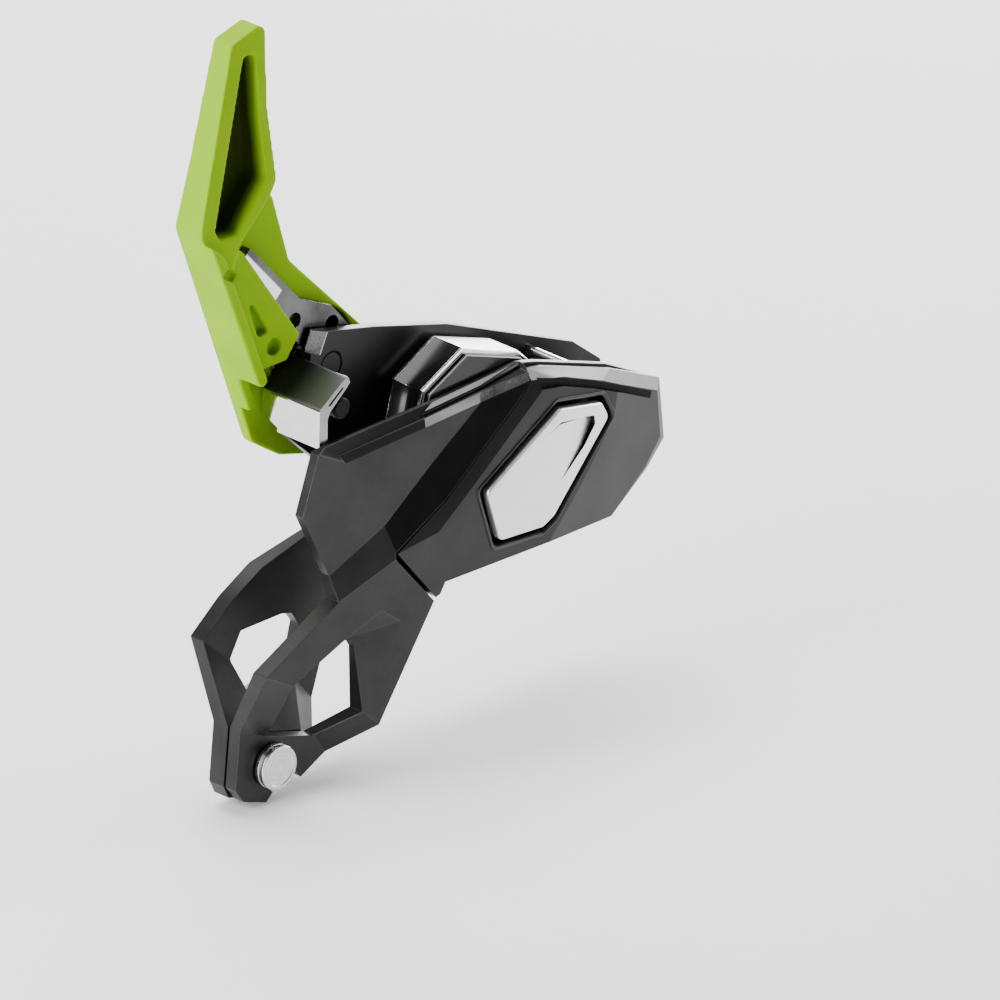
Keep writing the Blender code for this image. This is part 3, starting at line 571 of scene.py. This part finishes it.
def front_plate_skin(mats):
    """Front cheek: flat left panel, glossy slope down to the arm in painted shade, edge bands with painted
    highlights, struts and hooked lug.
    """
    lug_out, lug_in = -3.6, -0.45
    top_out, groove = -7.9, -7.3
    points = {
        "a": (9.1, 69.0, PLATE_OUT, PLATE_IN),
        "b": (4.5, 56.0, PLATE_OUT, PLATE_IN),
        "c": (11.9, 40.8, PLATE_OUT, PLATE_IN),
        "d": (27.7, 47.4, PLATE_OUT, PLATE_IN),
        "e": (40.7, 57.1, PLATE_OUT, PLATE_IN),
        "f": (55.1, 66.9, PLATE_OUT, PLATE_IN),
        "g": (39.5, 66.0, PLATE_OUT, PLATE_IN),
        "h": (16.2, 65.2, PLATE_OUT, PLATE_IN),
        "g1": (39.7, 67.9, PLATE_OUT + 0.5, PLATE_IN),
        "f1": (55.5, 69.1, PLATE_OUT + 0.5, PLATE_IN),
        "g2": (39.8, 68.1, groove, PLATE_IN),
        "f2": (55.6, 69.3, groove, PLATE_IN),
        "t2g": (67.3, 70.9, groove, PLATE_IN),
        "g3": (40.0, 68.8, groove, PLATE_IN),
        "f3": (55.8, 69.9, groove, PLATE_IN),
        "t3g": (67.35, 71.2, groove, PLATE_IN),
        "g4": (40.1, 69.0, top_out, PLATE_IN),
        "f4": (55.9, 70.1, top_out, PLATE_IN),
        "t4g": (67.4, 71.4, top_out, PLATE_IN),
        "h1": (14.8, 67.0, PLATE_OUT + 0.2, PLATE_IN),
        "k": (12.2, 69.3, top_out + 0.6, PLATE_IN),
        "m": (43.0, 70.4, top_out + 0.6, PLATE_IN),
        "n": (67.5, 72.1, top_out + 0.6, PLATE_IN),
        "p": (12.2, 35.5, ARM_OUT, ARM_IN),
        "q": (28.6, 41.6, ARM_OUT, ARM_IN),
        "r": (42.7, 49.4, ARM_OUT, PLATE_IN),
        "s": (63.9, 65.7, ARM_OUT, PLATE_IN),
        "t": (67.2, 69.0, ARM_OUT + 0.3, PLATE_IN),
        "t1": (67.3, 70.7, ARM_OUT + 0.75, PLATE_IN),
        "p0": (28.4, 40.2, ARM_OUT, ARM_IN),
        "p1": (39.5, 27.5, ARM_OUT, ARM_IN),
        "q2": (29.2, 42.0, PLATE_THIN, PLATE_IN),
        "r2": (43.0, 49.0, PLATE_THIN, PLATE_IN),
        "s2": (64.2, 65.4, PLATE_THIN, PLATE_IN),
        "t2": (67.7, 68.9, PLATE_THIN, PLATE_IN),
        "n2": (68.0, 71.9, PLATE_THIN, PLATE_IN),
        "u": (39.9, 28.2, PLATE_THIN, PLATE_IN),
        "v1": (*PLATE_BOTTOM[0], PLATE_THIN, PLATE_IN),
        "v2": (*PLATE_BOTTOM[1], PLATE_THIN, PLATE_IN),
        "v3": (*PLATE_BOTTOM[2], PLATE_THIN, PLATE_IN),
        "v4": (*PLATE_BOTTOM[3], PLATE_THIN, PLATE_IN),
        "v5": (105.3, 57.6, PLATE_THIN, PLATE_IN),
        "v6": (91.9, 64.4, PLATE_THIN, PLATE_IN),
        "v7": (72.1, 70.9, PLATE_THIN, PLATE_IN),
        "w2": (*WINDOW[0], ARM_OUT, ARM_IN),
        "w3": (*WINDOW[1], ARM_OUT + 1.8, ARM_IN),
        "w4": (*WINDOW[2], ARM_OUT + 2.2, ARM_IN),
        "x1": (-8.5, 24.7, ARM_OUT, ARM_IN),
        "x2": (-0.9, 20.4, ARM_OUT, ARM_IN),
        "x3": (24.4, 30.0, ARM_OUT, ARM_IN),
        "x4": (29.6, 26.0, ARM_OUT, ARM_IN),
        "x5": (18.9, 8.6, ARM_OUT, ARM_IN),
        "x6": (23.6, 4.2, ARM_OUT, ARM_IN),
        "y1": (-8.6, 9.9, lug_out, lug_in),
        "y2": (-0.9, 6.6, lug_out, lug_in),
        "y3": (12.2, 2.8, lug_out, lug_in),
        "y4": (15.6, -2.0, lug_out, lug_in),
        "z1": (-9.9, -3.2, lug_out, lug_in),
        "z2": (-7.5, -6.4, lug_out, lug_in),
        "z3": (-1.2, -8.4, lug_out, lug_in),
        "z4": (0.7, -6.6, lug_out, lug_in),
        "z9": (8.7, -5.6, lug_out, lug_in),
    }
    for i, spot in enumerate(arc((0.0, 0.0), 3.5, -142, -322, 18)):
        points[f"hook{i}"] = (*spot, lug_out, lug_in)
    spans = ((0, 3), (3, 9), (9, 15), (15, 18))
    hook = [" ".join(f"hook{i}" for i in range(start, stop + 1)) for start, stop in spans]
    # Slope faces get painted shade, the lit bands and the bright band painted highlights.
    panel, slope, lit, bright = 0, 1, 2, 4
    faces = [
        (panel, "a b c d e f g h"),
        (slope, "a h h1 k"),
        (slope, "h g g1 h1"),
        (lit, "g f f1 g1"),
        (slope, "g1 f1 f2 g2"),
        (slope, "g2 f2 f3 g3"),
        (slope, "g3 f3 f4 g4"),
        (slope, "h1 g1 g2 g3 g4 m k"),
        (lit, "g4 f4 n m"),
        (panel, "c p p0 q d"),
        (slope, "d q r e"),
        (slope, "e r s f"),
        (slope, "f s t"),
        (bright, "f t t1 f1"),
        (slope, "f1 t1 t2g f2"),
        (slope, "f2 t2g t3g f3"),
        (slope, "f3 t3g t4g f4"),
        (lit, "f4 t4g n"),
        (panel, "q q2 r2 r"),
        (panel, "r r2 s2 s"),
        (panel, "s s2 t2 t"),
        (panel, "t t2 n2 n t4g t3g t2g t1"),
        (panel, "p0 u q2 q"),
        (panel, "p0 p1 u"),
        (panel, "u v1 r2 q2"),
        (panel, "v1 v2 v6 v7 s2 r2"),
        (panel, "v2 v3 v4 v5 v6"),
        (panel, "s2 v7 n2 t2"),
        (panel, "p x1 x2 w2 x3"),
        (panel, "p x3 p0"),
        (panel, "x3 x4 p1 p0"),
        (panel, "x3 w2 w3 x4"),
        (panel, "x4 w3 w4 x5"),
        (panel, "x4 x5 x6 p1"),
        (panel, "x1 y1 y2 x2"),
        (panel, "x5 y3 y4 x6"),
        (panel, f"y1 z1 z2 z3 z4 {hook[0]}"),
        (panel, f"y1 {hook[1]} y2"),
        (panel, f"y2 {hook[2]} y3"),
        (panel, f"y3 {hook[3]} z9 y4"),
    ]
    finishes = [mats["anodised"], mats["shade"], mats["edge"], mats["rim"], mats["steel_painted_highlight"]]
    plate = facets("front_plate_skin", points, faces, finishes)
    cut(plate, hole(AXLE, 5.5, -9, -5.5))
    # The bevels get a faint painted highlight in slot 3.
    soften(plate, 0.5, edge_slot=3)
    return stand_for(plate, "front_side_plate")


def cover_skin(mats):
    """Raised housing on the front plate, with a painted highlight on its top edge, a groove and the button's
    window.
    """
    points = {
        "a": (29.0, 41.35, ARM_OUT, COVER_BACK),
        "b": (42.85, 49.2, ARM_OUT, COVER_BACK),
        "c": (64.1, 65.55, ARM_OUT, COVER_BACK),
        "d": (67.4, 69.0, ARM_OUT + 0.2, COVER_BACK),
        "e": (40.3, 43.0, COVER_FACE, COVER_BACK),
        "f": (50.5, 50.6, COVER_FACE, COVER_BACK),
        "g": (70.5, 66.4, COVER_FACE, COVER_BACK),
        "h": (76.3, 67.4, COVER_FACE, COVER_BACK),
        "i": (87.5, 63.1, COVER_FACE + 0.1, COVER_BACK),
        "j": (104.4, 55.4, COVER_FACE + 1.3, COVER_BACK),
        "d2": (67.6, 71.1, -9.6, COVER_BACK),
        "h2": (72.2, 70.3, -9.6, COVER_BACK),
        "i2": (91.6, 63.9, -9.6, COVER_BACK),
        "j2": (105.9, 57.6, -9.6, COVER_BACK),
        "k": (105.4, 44.5, COVER_FACE + 1.4, COVER_BACK),
        "k2": (107.3, 43.5, COVER_FACE + 2.3, COVER_BACK),
        "m": (100.9, 38.9, COVER_FACE + 1.3, COVER_BACK),
        "m2": (101.9, 38.2, COVER_FACE + 1.9, COVER_BACK),
        "n": (90.8, 31.0, COVER_FACE + 0.9, COVER_BACK),
        "o": (42.2, 31.1, COVER_FACE, COVER_BACK),
        "p": (41.2, 28.6, ARM_OUT, COVER_BACK),
        "q": (39.9, 28.2, ARM_OUT, COVER_BACK),
        "fold1": (92.0, 61.0, COVER_FACE, COVER_BACK),
        "fold2": (90.9, 55.0, COVER_FACE, COVER_BACK),
        "fold3": (87.2, 49.0, COVER_FACE, COVER_BACK),
        "fold4": (80.9, 40.9, COVER_FACE, COVER_BACK),
        "fold5": (72.0, 31.07, COVER_FACE, COVER_BACK),
    }
    # Slopes get painted shade, the top edge a painted highlight and the right part of the face painted light.
    main, slope, lit, right = 0, 1, 2, 3
    faces = [
        (slope, "a e f b"),
        (slope, "b f g c"),
        (slope, "c g h d"),
        (lit, "d h h2 d2"),
        (lit, "h i i2 h2"),
        (lit, "i fold1 j j2 i2"),
        (main, "a q p o e"),
        (main, "e o fold5 fold4 fold3 fold2 fold1 i h g f"),
        (right, "fold5 n m k j fold1 fold2 fold3 fold4"),
        (right, "j k k2 j2"),
        (right, "k m m2 k2"),
        (right, "m n m2"),
    ]
    finishes = [mats["cover"], mats["shade"], mats["edge"], mats["cover_painted_light"]]
    cover = facets("cover_skin", points, faces, finishes)
    window = prism("cover_window", offset(BUTTON, 2.2, BUTTON_CORNER), -14, -7)
    upper = [(68.9, 69.1), (76.3, 67.1), (85.1, 63.8), (93.6, 60.1), (102.6, 55.9)]
    lower = [(102.0, 54.4), (93.6, 58.4), (85.1, 62.0), (76.3, 65.2), (70.2, 66.2)]
    groove = prism("cover_groove", upper + lower, -14, GROOVE_FLOOR)
    cut(cover, window, groove)
    # The groove's floor gets painted shade.
    for face in cover.data.polygons:
        if abs(face.center.y - GROOVE_FLOOR * MM) < 0.05 * MM:
            face.material_index = slope
    soften(cover, 0.25)
    return stand_for(cover, "front_cover")


def bezel_ring(mats):
    """Ring round the button, with a thin rim in a faint painted highlight that slopes down to a gap in painted
    shade.
    """
    rim_back = -11.97
    profile = [(2.2, -9.4), (2.2, -11.95), (2.12, -12.12), (1.98, -12.2), (1.8, -12.18), (1.35, -11.9)]
    profile += [(1.05, -11.5), (0.95, -10.2), (0.5, -10.0), (0.4, -9.4)]
    levels = [(offset(BUTTON, distance, BUTTON_CORNER), y) for distance, y in profile]
    ring = loft("bezel_ring", levels, [mats["shade"], mats["rim"]], closed=True)
    # Faces in front get the rim's painted highlight, the rest painted shade.
    for face in ring.data.polygons:
        if face.center.y < rim_back * MM:
            face.material_index = 1
    return stand_for(ring, "button_bezel")


def inside_box(spot, outline, margin=0.2):
    """True if a point lies within the outline's box in the XZ plane."""
    x, z = spot.x / MM, spot.z / MM
    across, up = zip(*outline)
    return (min(across) - margin < x < max(across) + margin) and (min(up) - margin < z < max(up) + margin)


def thumb_button(mats):
    """Silver button with a frame and a thumb facet that sinks towards its upper right corner."""
    front = BUTTON_FRONT
    edge = [(-0.08, front + 0.3), (-0.25, front + 0.1), (-0.55, front)]
    profile = [(0.0, BUTTON_BACK), (0.0, front + 0.55), *edge]
    levels = [(offset(BUTTON, distance, BUTTON_CORNER), y) for distance, y in profile]
    button = loft("thumb_button", levels, [mats["button"], mats["shade"]])
    facet = [
        (68.7, 54.9), (74.6, 57.7), (82.2, 56.9), (84.2, 56.4), (84.4, 54.5), (81.3, 50.5), (74.6, 44.5),
    ]
    sink = [front + depth for depth in (0.0, 0.3, 1.1, 1.45, 1.4, 0.8, 0.0)]
    cut(button, loft("facet_tool", [(facet, front - 1.0), (facet, sink)], ()))
    line = [(70.0, 55.55), (74.6, 57.75), (84.1, 56.55), (84.1, 56.1), (74.7, 57.2)]
    line_floor = front + 1.65
    cut(button, prism("facet_line", line, front - 1.0, line_floor))
    # The groove's floor and the facet's walls get painted shade.
    for face in button.data.polygons:
        is_wall = abs(face.normal.y) < 0.3 and face.center.y < (line_floor + 0.05) * MM
        is_floor = face.normal.y < -0.9 and face.center.y > (line_floor - 0.05) * MM
        if is_floor or (is_wall and inside_box(face.center, facet)):
            face.material_index = 1
    soften(button, 0.12, 2, 20.0)
    return stand_for(button, "lock_button")


# ---------------------------------------------------------------- frame


def corner_wedge(top):
    """Cutter that slopes off the rear plate's inner face along the edge below its top corner."""
    along, across = Vector((0.418, 0.909)), Vector((0.909, -0.418))
    below, above = -4.7, 1.0
    profile = ((-1.0, 8.8), (3.8, 5.9), (-1.0, 5.5))
    corners = []
    for reach in (below, above):
        for step, y in profile:
            spot = top + along * reach + across * step
            corners.append((spot.x, y, spot.y))
    return hull("corner_wedge", corners)


def rear_plate_skin(mats):
    """Rear cheek with its arm, window, lug and a sloped corner at the upper left with a painted highlight in satin
    steel.
    """
    flat, inside, arm, arm_in = -PLATE_OUT, -PLATE_IN, -ARM_OUT, -ARM_IN
    lug_out, lug_in = 4.6, 0.1
    points = {
        "a": (22.9, 87.7, flat, inside),
        "b": (21.2, 84.0, flat, inside),
        "c": (21.0, 80.2, flat, inside),
        "d": (15.4, 75.6, flat, inside),
        "e": (14.6, 74.2, flat, inside),
        "f": (14.6, 66.5, flat, inside),
        "g": (23.6, 58.2, flat, inside),
        "h": (22.0, 50.0, flat, inside),
        "i": (21.6, 43.3, flat, inside),
        "j": (36.0, 46.0, flat, inside),
        "k": (50.0, 36.5, flat, inside),
        "v1": (*PLATE_BOTTOM[0], flat, inside),
        "v2": (*PLATE_BOTTOM[1], flat, inside),
        "v3": (*PLATE_BOTTOM[2], flat, inside),
        "v4": (*PLATE_BOTTOM[3], flat, inside),
        "v5": (104.2, 57.4, flat, inside),
        "v6": (96.3, 63.6, flat, inside),
        "v7": (60.0, 78.5, flat, inside),
        "v8": (39.3, 84.1, flat, inside),
        "p": (8.1, 38.5, arm, arm_in),
        "p2": (-0.5, 33.6, arm, arm_in),
        "q": (28.6, 38.5, arm, arm_in),
        "u": (39.5, 27.6, arm, arm_in),
        "w1": (2.2, 26.0, arm, arm_in),
        "w2": (*WINDOW[0], arm, arm_in),
        "w3": (*WINDOW[1], arm - 0.9, arm_in),
        "w4": (*WINDOW[2], arm - 1.2, arm_in),
        "w5": (17.2, 12.0, arm, arm_in),
        "w6": (1.0, 13.0, arm - 3.7, arm_in - 4.0),
        "x1": (-8.6, 27.0, arm, arm_in),
        "x2": (-0.9, 20.4, arm, arm_in),
        "x3": (24.4, 30.0, arm, arm_in),
        "x4": (29.6, 26.0, arm, arm_in),
        "x5": (18.9, 8.6, arm, arm_in),
        "x6": (22.3, 4.7, arm, arm_in),
        "x7": (25.2, 13.3, arm, arm_in),
        "y1": (-8.6, 9.9, lug_out, lug_in),
        "y2": (-0.9, 6.6, lug_out, lug_in),
        "y3": (12.2, 2.8, lug_out, lug_in),
        "y4": (15.6, -2.0, lug_out, lug_in),
        "z1": (-9.9, -3.2, lug_out, lug_in),
        "z2": (-8.4, -6.4, lug_out, lug_in),
        "z3": (0.6, -8.4, lug_out, lug_in),
        "z9": (9.0, -6.2, lug_out, lug_in),
    }
    faces = [
        "a b c d e f g h i j k v1 v2 v3 v4 v5 v6 v7 v8",
        "i p q j",
        "j q u k",
        "k u v1",
        "p p2 w1 w2 x3",
        "p2 x1 x2 w1",
        "p x3 q",
        "x3 x4 u q",
        "x3 w2 w3 x4",
        "x4 w3 w4 w5 x5",
        "x4 x5 x6 x7 u",
        "x1 y1 y2 x2",
        "x2 y2 w6",
        "y2 y3 w6",
        "y3 w5 w6",
        "y3 x5 w5",
        "x5 y3 y4 x6",
        "y1 z1 z2 z3 z9 y4 y3 y2",
    ]
    finishes = [mats["anodised"], mats["satin"]]
    plate = facets("rear_plate_skin", points, [(0, names) for names in faces], finishes)
    inner, outer = 5.5, 9.5
    drills = [hole(AXLE, 4.3, inner, outer), hole(LEVER_PIVOT, 3.08, inner, outer)]
    drills.append(hole((0.0, 0.0), 3.3, -0.5, inner))
    for node in ("guide_rivet_lower", "guide_rivet_upper", "cam_stop_pin", "rope_post", "block_pin"):
        drills.append(hole(centre_of(node), 1.9, inner, outer))
    cut(plate, corner_wedge(Vector(points["a"][:2])), *drills)
    # The sloped corner's faces that look to the front left get a painted highlight in satin steel.
    for face in plate.data.polygons:
        if face.center.z > 80.0 * MM and face.normal.y < -0.6 and face.normal.x < -0.3:
            face.material_index = 1
    soften(plate, 0.3)
    return stand_for(plate, "rear_side_plate")


def friction_wall(mats):
    """Bent stainless wall at the rope's entry, with its rear lower corner cut off.

    Its sloped top gets painted shade that gives way to a painted highlight towards the front, and its front ends a
    painted highlight.
    """
    front, rear = depths_of("friction_block")
    outer = [(11.8, 68.3), (12.05, 77.2), (20.1, 82.9)]
    inner = [(20.7, 80.9), (15.0, 75.9), (14.3, 74.4), (14.2, 68.3)]
    outline = rounded(outer + inner, [0.3, 1.6, 0.9, 0.5, 1.2, 1.2, 0.3], 8)
    wall = prism("friction_wall", outline, front, rear, [mats["polished"]])
    spots = [(6.7, 69.4), (rear + 1, 71.8), (rear + 1, 67.0), (6.7, 67.0)]
    corner = hull("corner_tool", [(x, y, z) for x in (10, 17) for y, z in spots])
    slit = [(14.5, 77.6), (18.6, 80.6), (18.9, 80.2), (14.8, 77.2)]
    slot = prism("wall_slot", slit, front - 1, front + 0.5)
    cut(wall, corner, slot)
    wall.data.materials.append(mats["steel_painted_shade"])
    wall.data.materials.append(mats["steel_painted_highlight"])
    # Faces get steel copies by the way they look: painted shade on the sloped top, a painted highlight on the
    # front ends.
    for face in wall.data.polygons:
        if face.normal.z > 0.4 and face.normal.x < -0.2:
            face.material_index = 1
        if face.normal.y < -0.9:
            face.material_index = 2
    # Painted highlight on the sloped top, growing towards the front.
    top = [(10.0, 74.0), (10.0, 78.0), (20.0, 86.0), (22.0, 82.0)]
    paint_inside(mats["steel_painted_shade"], top, (0.17, 0.17, 0.172), (5.0, -6.5, 99.0))
    soften(wall, 0.3, 3, 35.0)
    return stand_for(wall, "friction_block")


def belay_pin(mats):
    """Headed pin that the belay loop hangs on, turned, with a sunk face and a groove round its head."""
    head = 4.9
    profile = [(-6.45, head - 1.1), (-6.58, head - 0.95), (-6.6, head - 0.8), (-6.6, head - 0.5)]
    profile += [(-6.5, head - 0.15), (-6.25, head), (-5.55, head)]
    profile += [(-5.45, head - 0.12), (-5.42, head - 0.4)]
    profile += [(-5.1, head - 0.4), (-5.07, head - 0.12), (-4.97, head), (-4.2, head), (-4.0, head - 0.1)]
    profile += [(-3.9, head - 0.3), (-3.9, 3.0), (4.9, 3.0), (4.9, 4.4)]
    profile += [(5.9, 4.4), (6.12, 4.25), (6.2, 4.0)]
    pin = turned("belay_pin", (0.0, 0.0), profile, [mats["pin"]])
    soften(pin, 0.04, 1, 30.0)
    return stand_for(pin, "attachment_pin")


# ---------------------------------------------------------------- cam


def cam_body(mats):
    """Steel cam with a rope groove in its rim and a flat satin top whose lighter silver is partly painted light.
    Its left side gets painted shade in gloss black.
    """
    half = -depths_of("brake_cam")[0]
    lip = 0.8
    rim = [(70.0, 72.9), (54.2, 78.2), (42.6, 72.0), (39.8, 62.0)]
    lower = arc((56.0, 56.5), 16.0, 187, 292, 42)
    side = [(74.6, 46.8), (77.2, 55.0), (76.2, 63.0), (73.6, 69.6)]
    outline = rim + lower + side
    last_grooved = len(outline) - 2
    centre = Vector((60.0, 58.0))
    groove = [(-half, 0.35), (lip / 2 - half, 0.08), (lip - half, 0.0)]
    across = (-3.2, -2.4, -1.2, 0.0, 1.2, 2.4, 3.2)
    groove += [(y, 2.0 * math.cos(y / (half - lip) * math.pi / 2)) for y in across]
    groove += [(half - lip, 0.0), (half - lip / 2, 0.08), (half, 0.35)]
    levels = []
    for y, depth in groove:
        ring = []
        for i, spot in enumerate(outline):
            edge = depth if abs(y) > half - lip else 0.0
            inward = (centre - Vector(spot)).normalized() * (depth if 2 <= i < last_grooved else edge)
            ring.append(tuple(Vector(spot) + inward))
        levels.append((ring, y))
    cam = loft("cam_body", levels, [mats["polished"], mats["black"], mats["button"]])
    cut(cam, hole(AXLE, 5.6, -6, 6), hole(AXLE, 9.0, 2.0, 6))
    # The left side gets painted shade in gloss black, the upward top a lighter satin silver that is partly painted
    # light.
    for face in cam.data.polygons:
        if face.normal.x < -0.4 and abs(face.normal.y) < 0.9:
            face.material_index = 1
        if face.normal.z > 0.7 and face.center.z > 68.0 * MM and face.normal.x > -0.4:
            face.material_index = 2
    soften(cam, 0.2, 2, 25.0, 0)
    return stand_for(cam, "brake_cam")


def cam_plate(mats, name, node):
    """Glossy side plate of the cam."""
    rim = [(69.4, 71.9), (54.3, 77.0), (43.4, 71.2), (40.9, 62.0)]
    lower = arc((56.0, 56.5), 14.9, 187, 292, 36)
    side = [(73.7, 47.6), (76.1, 55.0), (75.1, 62.8), (72.8, 69.0)]
    front, rear = depths_of(node)
    cap = prism(name, rim + lower + side, front, rear, [mats["black"], mats["edge"]])
    cut(cap, hole(AXLE, 5.2, -7, 7))
    # The bevels get a painted highlight.
    soften(cap, 0.22, 3, 35.0, 1)
    return stand_for(cap, node)


# ---------------------------------------------------------------- lever


def thinning(z):
    """How much thinner the handle's blade is at a height, from its widest place up to its tip."""
    return 0.05 * max(z - 119.0, 0.0)


def grip_shell(mats):
    """Green moulded handle with rounded edges: blade with a deep pocket in painted shade, walls and an inner web.
    """
    front = depths_of("lever_grip")[0] + 2.4
    flange_front, flange_rear = 12.1, depths_of("lever_grip")[1]
    web_rear = 9.1
    blade = [(-2.3, 160.0), (5.4, 162.3), (7.2, 161.2), (7.8, 143.5), (10.4, 126.3), (8.6, 123.2)]
    blade += [(0.2, 114.8), (-3.0, 108.6), (-7.6, 111.5), (-11.2, 119.4), (-10.6, 122.8)]
    corners = [1.4, 0.8, 1.2, 6.0, 1.6, 0.8, 1.0, 0.4, 0.4, 3.0, 3.0]
    outline = rounded(blade, corners)
    rear = [12.6 - thinning(z) for _, z in outline]
    grip = loft("grip_shell", [(outline, front), (outline, rear)], [mats["green"]])
    side = [(-4.0, 136.0), (6.0, 140.0), (10.2, 127.0), (16.0, 118.4), (20.6, 102.9), (41.9, 81.4)]
    side += [(42.6, 74.0), (36.5, 62.5), (25.0, 57.7), (17.8, 59.6), (9.7, 65.0), (-9.4, 118.4)]
    corners = [1, 1, 2, 3, 3, 2, 3, 3, 3, 3, 3, 2]
    flange = prism("grip_side", rounded(side, corners), flange_front, flange_rear)
    wall_line = [(-10.5, 118.0), (2.9, 82.6), (4.4, 81.9), (5.7, 82.9), (-6.2, 114.0)]
    wall = prism("grip_wall", wall_line, 2.6, 13.0)
    low_wall_line = [(2.0, 84.9), (6.3, 73.8), (8.5, 74.6), (4.7, 85.4)]
    low_wall = prism("grip_low_wall", low_wall_line, web_rear, 13.0)
    web_top = [(-7.0, 114.0), (0.8, 113.0), (3.9, 108.6)]
    web_foot = [(17.2, 89.4), (13.4, 84.4), (5.0, 84.2), (-1.0, 100.0)]
    web = prism("grip_web", web_top + web_foot, 5.4, web_rear)
    fuse(grip, flange, wall, low_wall, web)
    mouth = [
        (1.1, 157.0), (4.6, 156.6), (5.9, 142.0), (7.9, 127.6), (-0.8, 116.6), (-5.8, 116.9), (-7.1, 119.6),
    ]
    floor = [
        (1.3, 155.5), (3.4, 155.0), (4.3, 141.5), (5.6, 128.2), (-1.6, 118.6), (-5.4, 118.4), (-6.6, 120.4),
    ]
    rounding = [1.4, 1.0, 4.0, 1.6, 1.5, 1.2, 1.0]
    floor = rounded(floor, rounding)
    depth = [11.0 - thinning(z) for _, z in floor]
    pocket = loft("grip_pocket", [(rounded(mouth, rounding), 4.0), (floor, depth)], ())
    triangle = prism("grip_triangle", rounded([(1.6, 103.5), (8.2, 92.6), (5.4, 92.0)], 0.5), 3.0, 7.4)
    bend = [(-6.0, 111.6), (-1.0, 108.4), (-2.0, 106.6), (-7.0, 109.8)]
    notch = prism("grip_notch", bend, 1.0, 6.2)
    drills = [hole((9.8, 88.6), 1.9, 3.0, 7.4), hole(LEVER_PIVOT, 6.3, 11.5, 16.0)]
    drills.append(hole(LEVER_PIVOT, 11.5, 11.0, 13.4))
    for node in GRIP_SCREWS:
        centre = centre_of(node)
        drills += [hole(centre, 1.6, 11.8, 16.0), hole(centre, 3.0, 13.9, 16.0)]
    cut(grip, pocket, triangle, notch, *drills)
    remesh = grip.modifiers.new("remesh", "REMESH")
    remesh.mode = "VOXEL"
    remesh.voxel_size = 0.36 * MM
    remesh.use_smooth_shade = True
    smooth = grip.modifiers.new("smooth", "SMOOTH")
    smooth.factor = 0.5
    smooth.iterations = 5
    thin = grip.modifiers.new("thin", "DECIMATE")
    thin.ratio = 0.3
    bake_shape(grip)
    grip.data.materials.clear()
    grip.data.materials.append(mats["green"])
    # Painted shade deep inside the pocket.
    paint_inside(mats["green"], mouth, (0.02, 0.03, 0.002), (front + 0.4, front + 3.0, 11.4))
    return stand_for(grip, "lever_grip")


def steel_arm(mats):
    """Stainless arm from the lever's pivot up into the handle, with a painted highlight as a bright bar at its
    upper end.
    """
    front, rear = depths_of("lever_arm")
    bar = [(13.4, 95.2), (12.0, 99.0), (4.5, 108.0), (6.9, 110.4), (20.9, 94.9), (29.9, 90.8), (35.2, 84.5)]
    hub = arc(LEVER_PIVOT, 8.4, 10, -60, 12) + arc(LEVER_PIVOT, 5.8, -100, -215, 24)
    arm = prism("steel_arm", bar + hub, front, rear, [mats["arm_steel"], mats["polished"]])
    lit_bar = [(3.9, 107.3), (5.9, 109.2), (15.6, 98.4), (13.2, 96.0)]
    # Painted highlight along the bar.
    paint_inside(mats["arm_steel"], lit_bar, (0.8, 0.8, 0.81))
    past = 12.2
    drills = [hole(LEVER_PIVOT, 4.5, 9, past)]
    drills += [hole((30.0, 86.6), 1.9, 9, past), hole((19.4, 90.4), 1.8, 9, past)]
    for node in GRIP_SCREWS:
        tip = depths_of(node)[0]
        drills.append(hole(centre_of(node), 1.6, tip - 0.3, past))
    cut(arm, *drills)
    soften(arm, 0.35, 3, 35.0, 1)
    return stand_for(arm, "lever_arm")


# ---------------------------------------------------------------- the CAD nodes that stay


def dress_nodes(mats):
    """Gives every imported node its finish, most of them their record's and a few of them their own."""
    own = {
        "cam_axle": "axle",
        "attachment_pin": "pin",
        # The block pin gets painted shade.
        "block_pin": "shade",
        "lever_pivot_pin": "anodised",
    }
    for name, node in NODES.items():
        material = mats[own.get(name, SLOT_OF[name])]
        for slot in node.material_slots:
            slot.material = material


def main():
    mats = make_materials()
    add_camera()
    add_floor(mats["floor"])
    add_lights()
    dress_nodes(mats)
    front_plate_skin(mats)
    cover_skin(mats)
    bezel_ring(mats)
    thumb_button(mats)
    rear_plate_skin(mats)
    friction_wall(mats)
    belay_pin(mats)
    cam_body(mats)
    cam_plate(mats, "cam_plate_front", "cam_cap_front")
    cam_plate(mats, "cam_plate_rear", "cam_cap_rear")
    grip_shell(mats)
    steel_arm(mats)


main()
